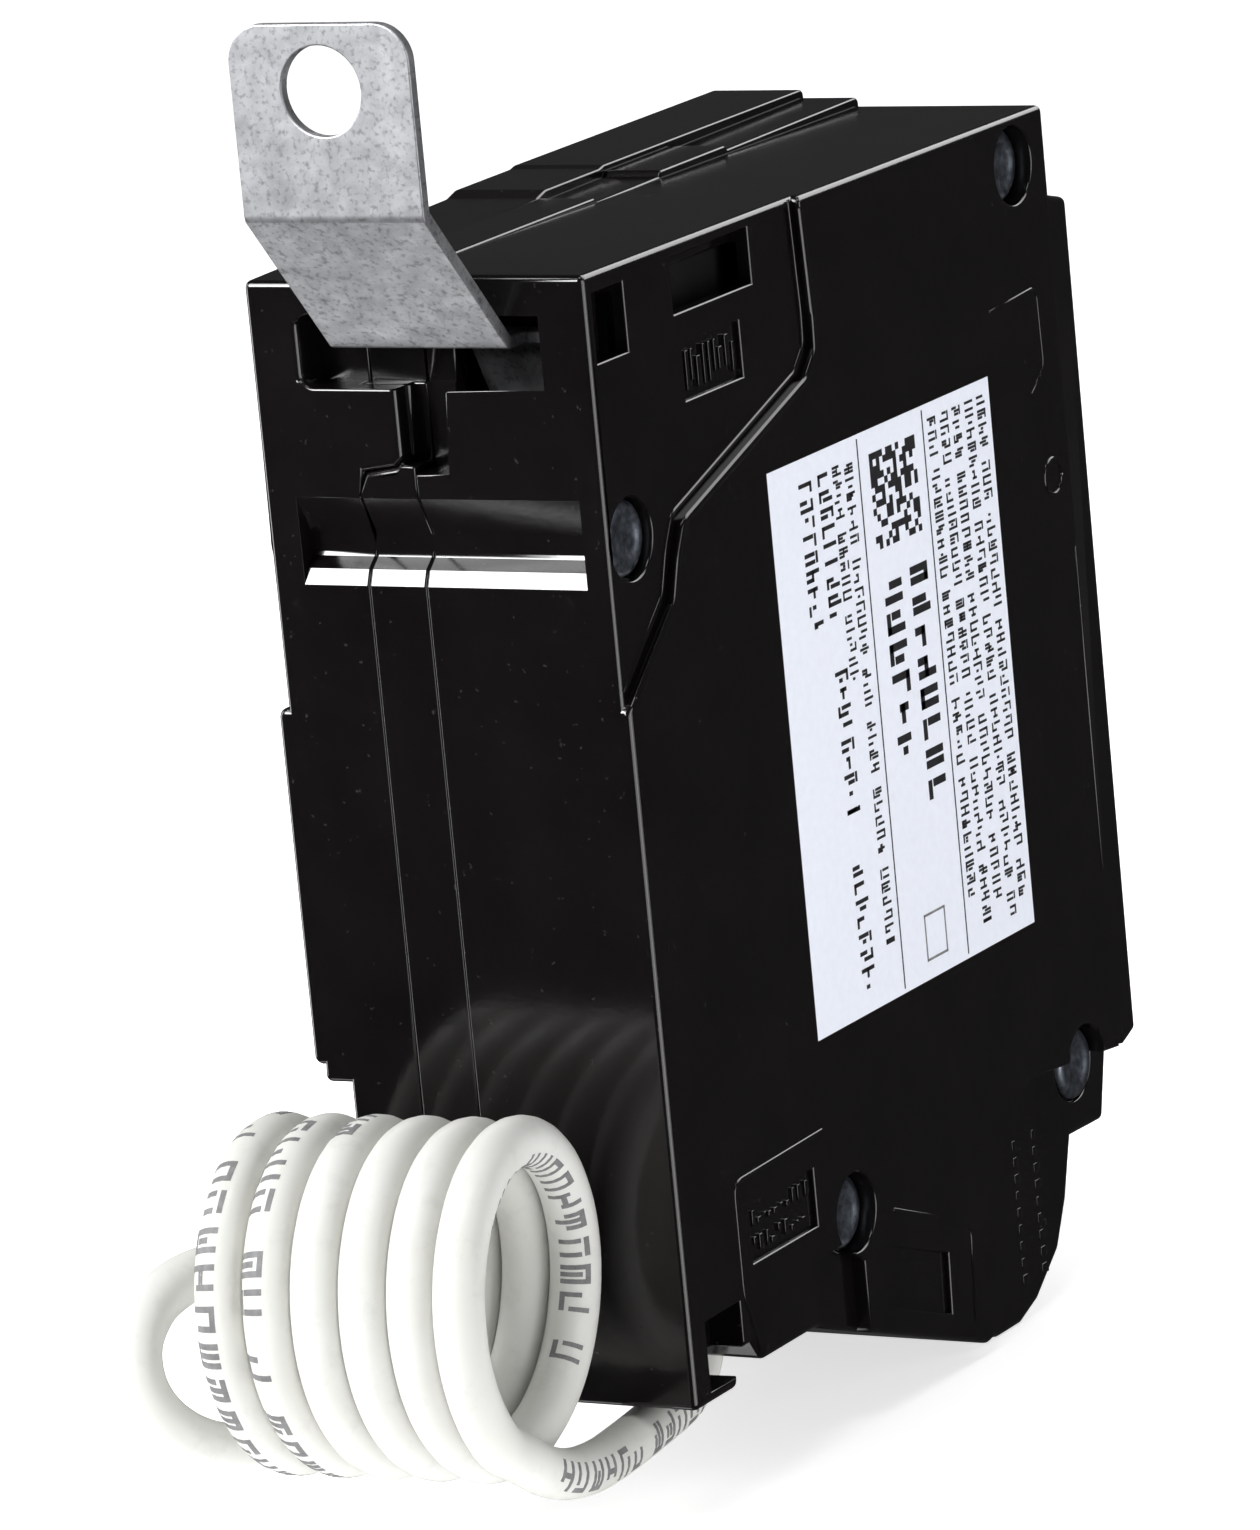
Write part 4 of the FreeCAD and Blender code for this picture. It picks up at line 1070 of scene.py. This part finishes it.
LABEL_TOP_Y = 49.9
LABEL_START_Z = -16.4
LABEL_LENGTH = 36.7
LABEL_MARGIN = 0.3
INK = 0.014
INK_ROOT = 0.02
TEXT_ROWS = [
    # the row's middle from the label's front edge, its height, and its start and end along the label
    (1.3, 1.15, 1.0, 34.5),
    (3.0, 1.15, 1.0, 35.5),
    (4.8, 1.15, 1.0, 34.6),
    (6.5, 1.15, 1.0, 34.9),
    (8.25, 1.15, 1.0, 32.8),
    (19.8, 1.15, 1.6, 33.0),
    (21.4, 1.15, 1.4, 15.8),
]
BOLD_ROWS = [(11.7, 2.4, 9.9, 25.9), (15.3, 2.4, 10.2, 21.9)]
NUMBER_ROWS = [
    (23.1, 1.7, 1.5, 11.2),
    (23.1, 1.7, 14.3, 23.6),
    (23.1, 1.7, 27.0, 35.4),
    (25.65, 1.7, 1.6, 11.0),
]
RULES = [9.4, 18.35]
RULE_THICKNESS = 0.14
MATRIX_START = (10.7, 1.6)
MATRIX_CELLS = 14
MATRIX_CELL = 0.45
BOX_ACROSS = (12.2, 15.1)
BOX_ALONG = (32.4, 35.5)
BOX_LINE = 0.16


def ink(bm, across, along, tall, wide):
    """A flat block of ink on the label, placed from the label's front edge and line-end edge."""
    y = LABEL_TOP_Y - across
    z = LABEL_START_Z - along
    bar(bm, (LABEL_FACE - INK_ROOT, y - tall, z - wide), (LABEL_FACE + INK, y, z))


def glyph(bm, across, along, height, width, stroke, rng):
    """A made-up mark: one to three posts of uneven height, sometimes tied by a short bar."""
    posts = rng.choice((2, 2, 3)) if width > 3 * stroke else rng.choice((1, 2))
    for number in range(posts):
        drop = rng.choice((0.0, 0.0, 0.22, 0.45)) * height
        tall = height - drop - rng.choice((0.0, 0.0, 0.28)) * height
        place = along + (width - stroke) * number / max(posts - 1, 1)
        ink(bm, across + drop, place, max(tall, stroke), stroke)
    if rng.random() < 0.75:
        tie = rng.choice((0.0, 0.42, 0.84)) * height
        ink(bm, across + min(tie, height - stroke), along, stroke, width)


def text_row(bm, row, rng, advance=0.80, weight=0.15, gaps=True):
    """A row of made-up marks, in words of a few marks each."""
    centre, height, start, end = row
    along = start
    left = rng.randint(3, 9)
    while along < end:
        width = min(height * advance * rng.uniform(0.58, 0.74), end - along)
        glyph(bm, centre - height / 2, along, height, width, height * weight, rng)
        along += height * advance
        left -= 1
        if gaps and left == 0:
            along += height * 0.6
            left = rng.randint(3, 9)


def make_label_print(material):
    """The label's rows of made-up marks, its two rules and a square of random cells."""
    rng = random.Random(21)
    bm = bmesh.new()
    for row in TEXT_ROWS:
        text_row(bm, row, rng)
    for row in BOLD_ROWS:
        text_row(bm, row, rng, weight=0.22, gaps=False, advance=0.84)
    for row in NUMBER_ROWS:
        text_row(bm, row, rng, weight=0.16, gaps=False, advance=0.66)
    for across in RULES:
        ink(bm, across, LABEL_MARGIN, RULE_THICKNESS, LABEL_LENGTH - 2 * LABEL_MARGIN)
    for i in range(MATRIX_CELLS):
        for j in range(MATRIX_CELLS):
            if rng.random() < 0.5:
                across = MATRIX_START[0] + i * MATRIX_CELL
                ink(bm, across, MATRIX_START[1] + j * MATRIX_CELL, MATRIX_CELL, MATRIX_CELL)
    return piece("label_print", bm, material, "label_paper")


def make_label_box(material):
    """An empty box drawn in four lines at the label's load end."""
    bm = bmesh.new()
    low, high = BOX_ACROSS
    near, far = BOX_ALONG
    for across in (low, high - BOX_LINE):
        ink(bm, across, near, BOX_LINE, far - near)
    for along in (near, far - BOX_LINE):
        ink(bm, low, along, high - low, BOX_LINE)
    return piece("label_box", bm, material, "label_paper")


ESCUTCHEON_FACE = 64.1
FRONT_LABEL_THICKNESS = 0.12
FRONT_LABEL_FACE = ESCUTCHEON_FACE + FRONT_LABEL_THICKNESS
FRONT_ROW_START = -9.8
FRONT_ROWS = [
    # top edge, height and end of the row
    (-10.2, 1.2, 8.8),
    (-12.3, 0.9, 6.0),
    (-14.0, 0.9, 9.4),
]


def make_front_print(material):
    """Rows of plain blocks on the small label above the handle."""
    rng = random.Random(5)
    bm = bmesh.new()
    for z, tall, end in FRONT_ROWS:
        x = FRONT_ROW_START
        while x < end:
            width = rng.uniform(0.45, 0.95)
            low = (x, FRONT_LABEL_FACE - INK_ROOT, z - tall)
            bar(bm, low, (x + width, FRONT_LABEL_FACE + INK, z))
            x += width + rng.uniform(0.25, 0.55)
    return piece("front_label_print", bm, material, "front_label")


# ---------------------------------------------------------------- print along the lead

WRAP_STEPS_ALONG = 2
WRAP_STEP = 12.0
WRAP_LIFTS = (-0.03, 0.015)


def lead_frames(line):
    """Distance along the lead, place, direction and outward side at each point of its line."""
    hub = spot(0, *COIL_CENTRE)
    frames = []
    distance = 0.0
    for index, place in enumerate(line):
        before = line[max(index - 1, 0)]
        after = line[min(index + 1, len(line) - 1)]
        along = (after - before).normalized()
        radial = place - hub
        radial.x = 0.0
        side = (radial - along * radial.dot(along)).normalized()
        if index:
            distance += (place - line[index - 1]).length
        frames.append((distance / MM, place, along, side))
    return frames


def at_distance(frames, distance):
    """Place, direction and outward side at any distance along the lead."""
    for first, second in zip(frames, frames[1:]):
        if first[0] <= distance <= second[0]:
            t = (distance - first[0]) / (second[0] - first[0])
            return [a.lerp(b, t) for a, b in zip(first[1:], second[1:])]
    raise ValueError(distance)


def wrap_block(bm, frames, start, end, low, high):
    """A thin block of ink wrapped on the lead between two distances and two angles in degrees."""
    steps_round = max(1, round((high - low) / WRAP_STEP))
    layers = []
    for lift in WRAP_LIFTS:
        grid = []
        for i in range(WRAP_STEPS_ALONG + 1):
            distance = start + (end - start) * i / WRAP_STEPS_ALONG
            place, along, side = at_distance(frames, distance)
            across = along.cross(side)
            row = []
            for j in range(steps_round + 1):
                angle = math.radians(low + (high - low) * j / steps_round)
                out = side * math.cos(angle) + across * math.sin(angle)
                row.append(bm.verts.new(place + out * (LEAD_RADIUS + lift * MM)))
            grid.append(row)
        layers.append(grid)
    inner, outer = layers
    for i in range(WRAP_STEPS_ALONG):
        for j in range(steps_round):
            bm.faces.new((outer[i][j], outer[i + 1][j], outer[i + 1][j + 1], outer[i][j + 1]))
            bm.faces.new((inner[i][j], inner[i][j + 1], inner[i + 1][j + 1], inner[i + 1][j]))
    for i in range(WRAP_STEPS_ALONG):
        bm.faces.new((inner[i][0], inner[i + 1][0], outer[i + 1][0], outer[i][0]))
        bm.faces.new((inner[i][-1], outer[i][-1], outer[i + 1][-1], inner[i + 1][-1]))
    for j in range(steps_round):
        bm.faces.new((inner[0][j], outer[0][j], outer[0][j + 1], inner[0][j + 1]))
        bm.faces.new((inner[-1][j], inner[-1][j + 1], outer[-1][j + 1], outer[-1][j]))


LEAD_PRINT = [
    # start and end along the lead, and the angle about it of the print's middle, in degrees
    (8.0, 31.0, 82.0),
    (52.0, 84.0, 150.0),
    (240.5, 244.0, -20.0),
    (270.0, 303.0, -20.0),
    (331.0, 365.0, -20.0),
]
PRINT_HALF_ANGLE = 36.0
MARK_SPREAD = 1.05
POST_WIDTH = 0.34
TIE_LENGTH = 1.38
TIE_ANGLE = 13.0


def lead_mark(bm, frames, distance, middle, rng):
    """Two or three posts across the lead, tied by a bar along it."""
    low = middle - PRINT_HALF_ANGLE
    high = middle + PRINT_HALF_ANGLE
    posts = rng.choice((2, 2, 3))
    for post in range(posts):
        start = distance + post * MARK_SPREAD / (posts - 1)
        foot = low + rng.choice((0, 0, 20))
        top = high - rng.choice((0, 0, 24))
        wrap_block(bm, frames, start, start + POST_WIDTH, foot, top)
    tie = rng.choice((low, middle - 6, high - TIE_ANGLE))
    wrap_block(bm, frames, distance, distance + TIE_LENGTH, tie, tie + TIE_ANGLE)


def make_lead_print(line, material):
    """Made-up marks printed along the stretches of the lead that carry print."""
    rng = random.Random(11)
    frames = lead_frames(line)
    bm = bmesh.new()
    for start, end, middle in LEAD_PRINT:
        distance = start
        while distance < end:
            lead_mark(bm, frames, distance, middle, rng)
            distance += rng.choice((2.0, 2.0, 2.2, 3.6))
    return piece("lead_print", bm, material, "lead_insulation")


# ---------------------------------------------------------------- eased CAD nodes

TAB_EDGE_RADIUS = 0.12
EASED_STEPS = 3
EASED_NODES = {
    # radius of the eased edges
    "handle": 0.35,
    "test_button": 0.3,
    "load_clamp_plate": 0.15,
    "neutral_clamp_plate": 0.15,
    "load_terminal_lug": 0.2,
    "neutral_terminal_lug": 0.2,
    "load_terminal_screw": 0.12,
    "neutral_terminal_screw": 0.12,
    "lead_grommet": 0.15,
    "product_label": 0.02,
    "front_label": 0.03,
    "fixed_contact": 0.15,
    "moving_contact": 0.15,
    "light_pipe": 0.12,
}


def ease_node(name, radius):
    """Soften a CAD node's edges where it stands, without touching its mesh."""
    node = frame["nodes"][name]
    weld = node.modifiers.new("weld", "WELD")
    weld.merge_threshold = WELD_DISTANCE
    flats = node.modifiers.new("flats", "DECIMATE")
    flats.decimate_type = "DISSOLVE"
    flats.angle_limit = FLAT
    eased = node.modifiers.new("eased", "BEVEL")
    eased.width = radius * MM
    eased.segments = EASED_STEPS
    eased.limit_method = "ANGLE"
    eased.angle_limit = SHARP
    weight_normals(node)


def dress_tab(material):
    """The line tab with its sheared edges lightly broken."""
    bm = clean_copy("line_terminal_tab")
    edges = [edge for edge in bm.edges if bend(edge) > SHARP and edge.is_convex]
    ease(bm, edges, TAB_EDGE_RADIUS, EASED_STEPS)
    tab = piece("line_tab_dressed", bm, material, "tab_metal", "line_terminal_tab")
    smooth_with_flats(tab)
    return tab


# ---------------------------------------------------------------- making

make_camera()
lead = make_cord()
strands = make_strands(lead_copper())

materials = {make.__name__: make() for make in FINISHES}
finish_nodes(materials)
black_ink = printed("black_ink", (0.012, 0.012, 0.014), (0.024, 0.024, 0.028), rough=0.5)
grey_ink = printed("grey_ink", (0.16, 0.16, 0.165), (0.24, 0.24, 0.245), rough=0.5)
pale_ink = printed("pale_ink", (0.62, 0.62, 0.60), (0.72, 0.72, 0.70), rough=0.5)

mouldings = [
    dress_shell("case_left_shell", materials["case_black"], [LEFT_PARTING]),
    dress_shell("case_middle_frame", materials["case_black"], [LEFT_PARTING, RIGHT_PARTING]),
    dress_shell("case_right_shell", materials["case_black"], [RIGHT_PARTING]),
    make_face_relief(materials["case_black"]),
]
make_rivets(materials["rivet_steel"])
dress_tab(materials["tab_metal"])
make_label_print(black_ink)
make_label_box(grey_ink)
make_front_print(pale_ink)
make_lead_print(centre_line(lead), grey_ink)
for name, radius in EASED_NODES.items():
    ease_node(name, radius)

make_lights("softbox", SOFTBOXES)
make_lights("edge_card", EDGE_CARDS, gather("glossy_black", mouldings))
make_world()
make_floor()
bpy.context.scene.view_settings.view_transform = "Standard"
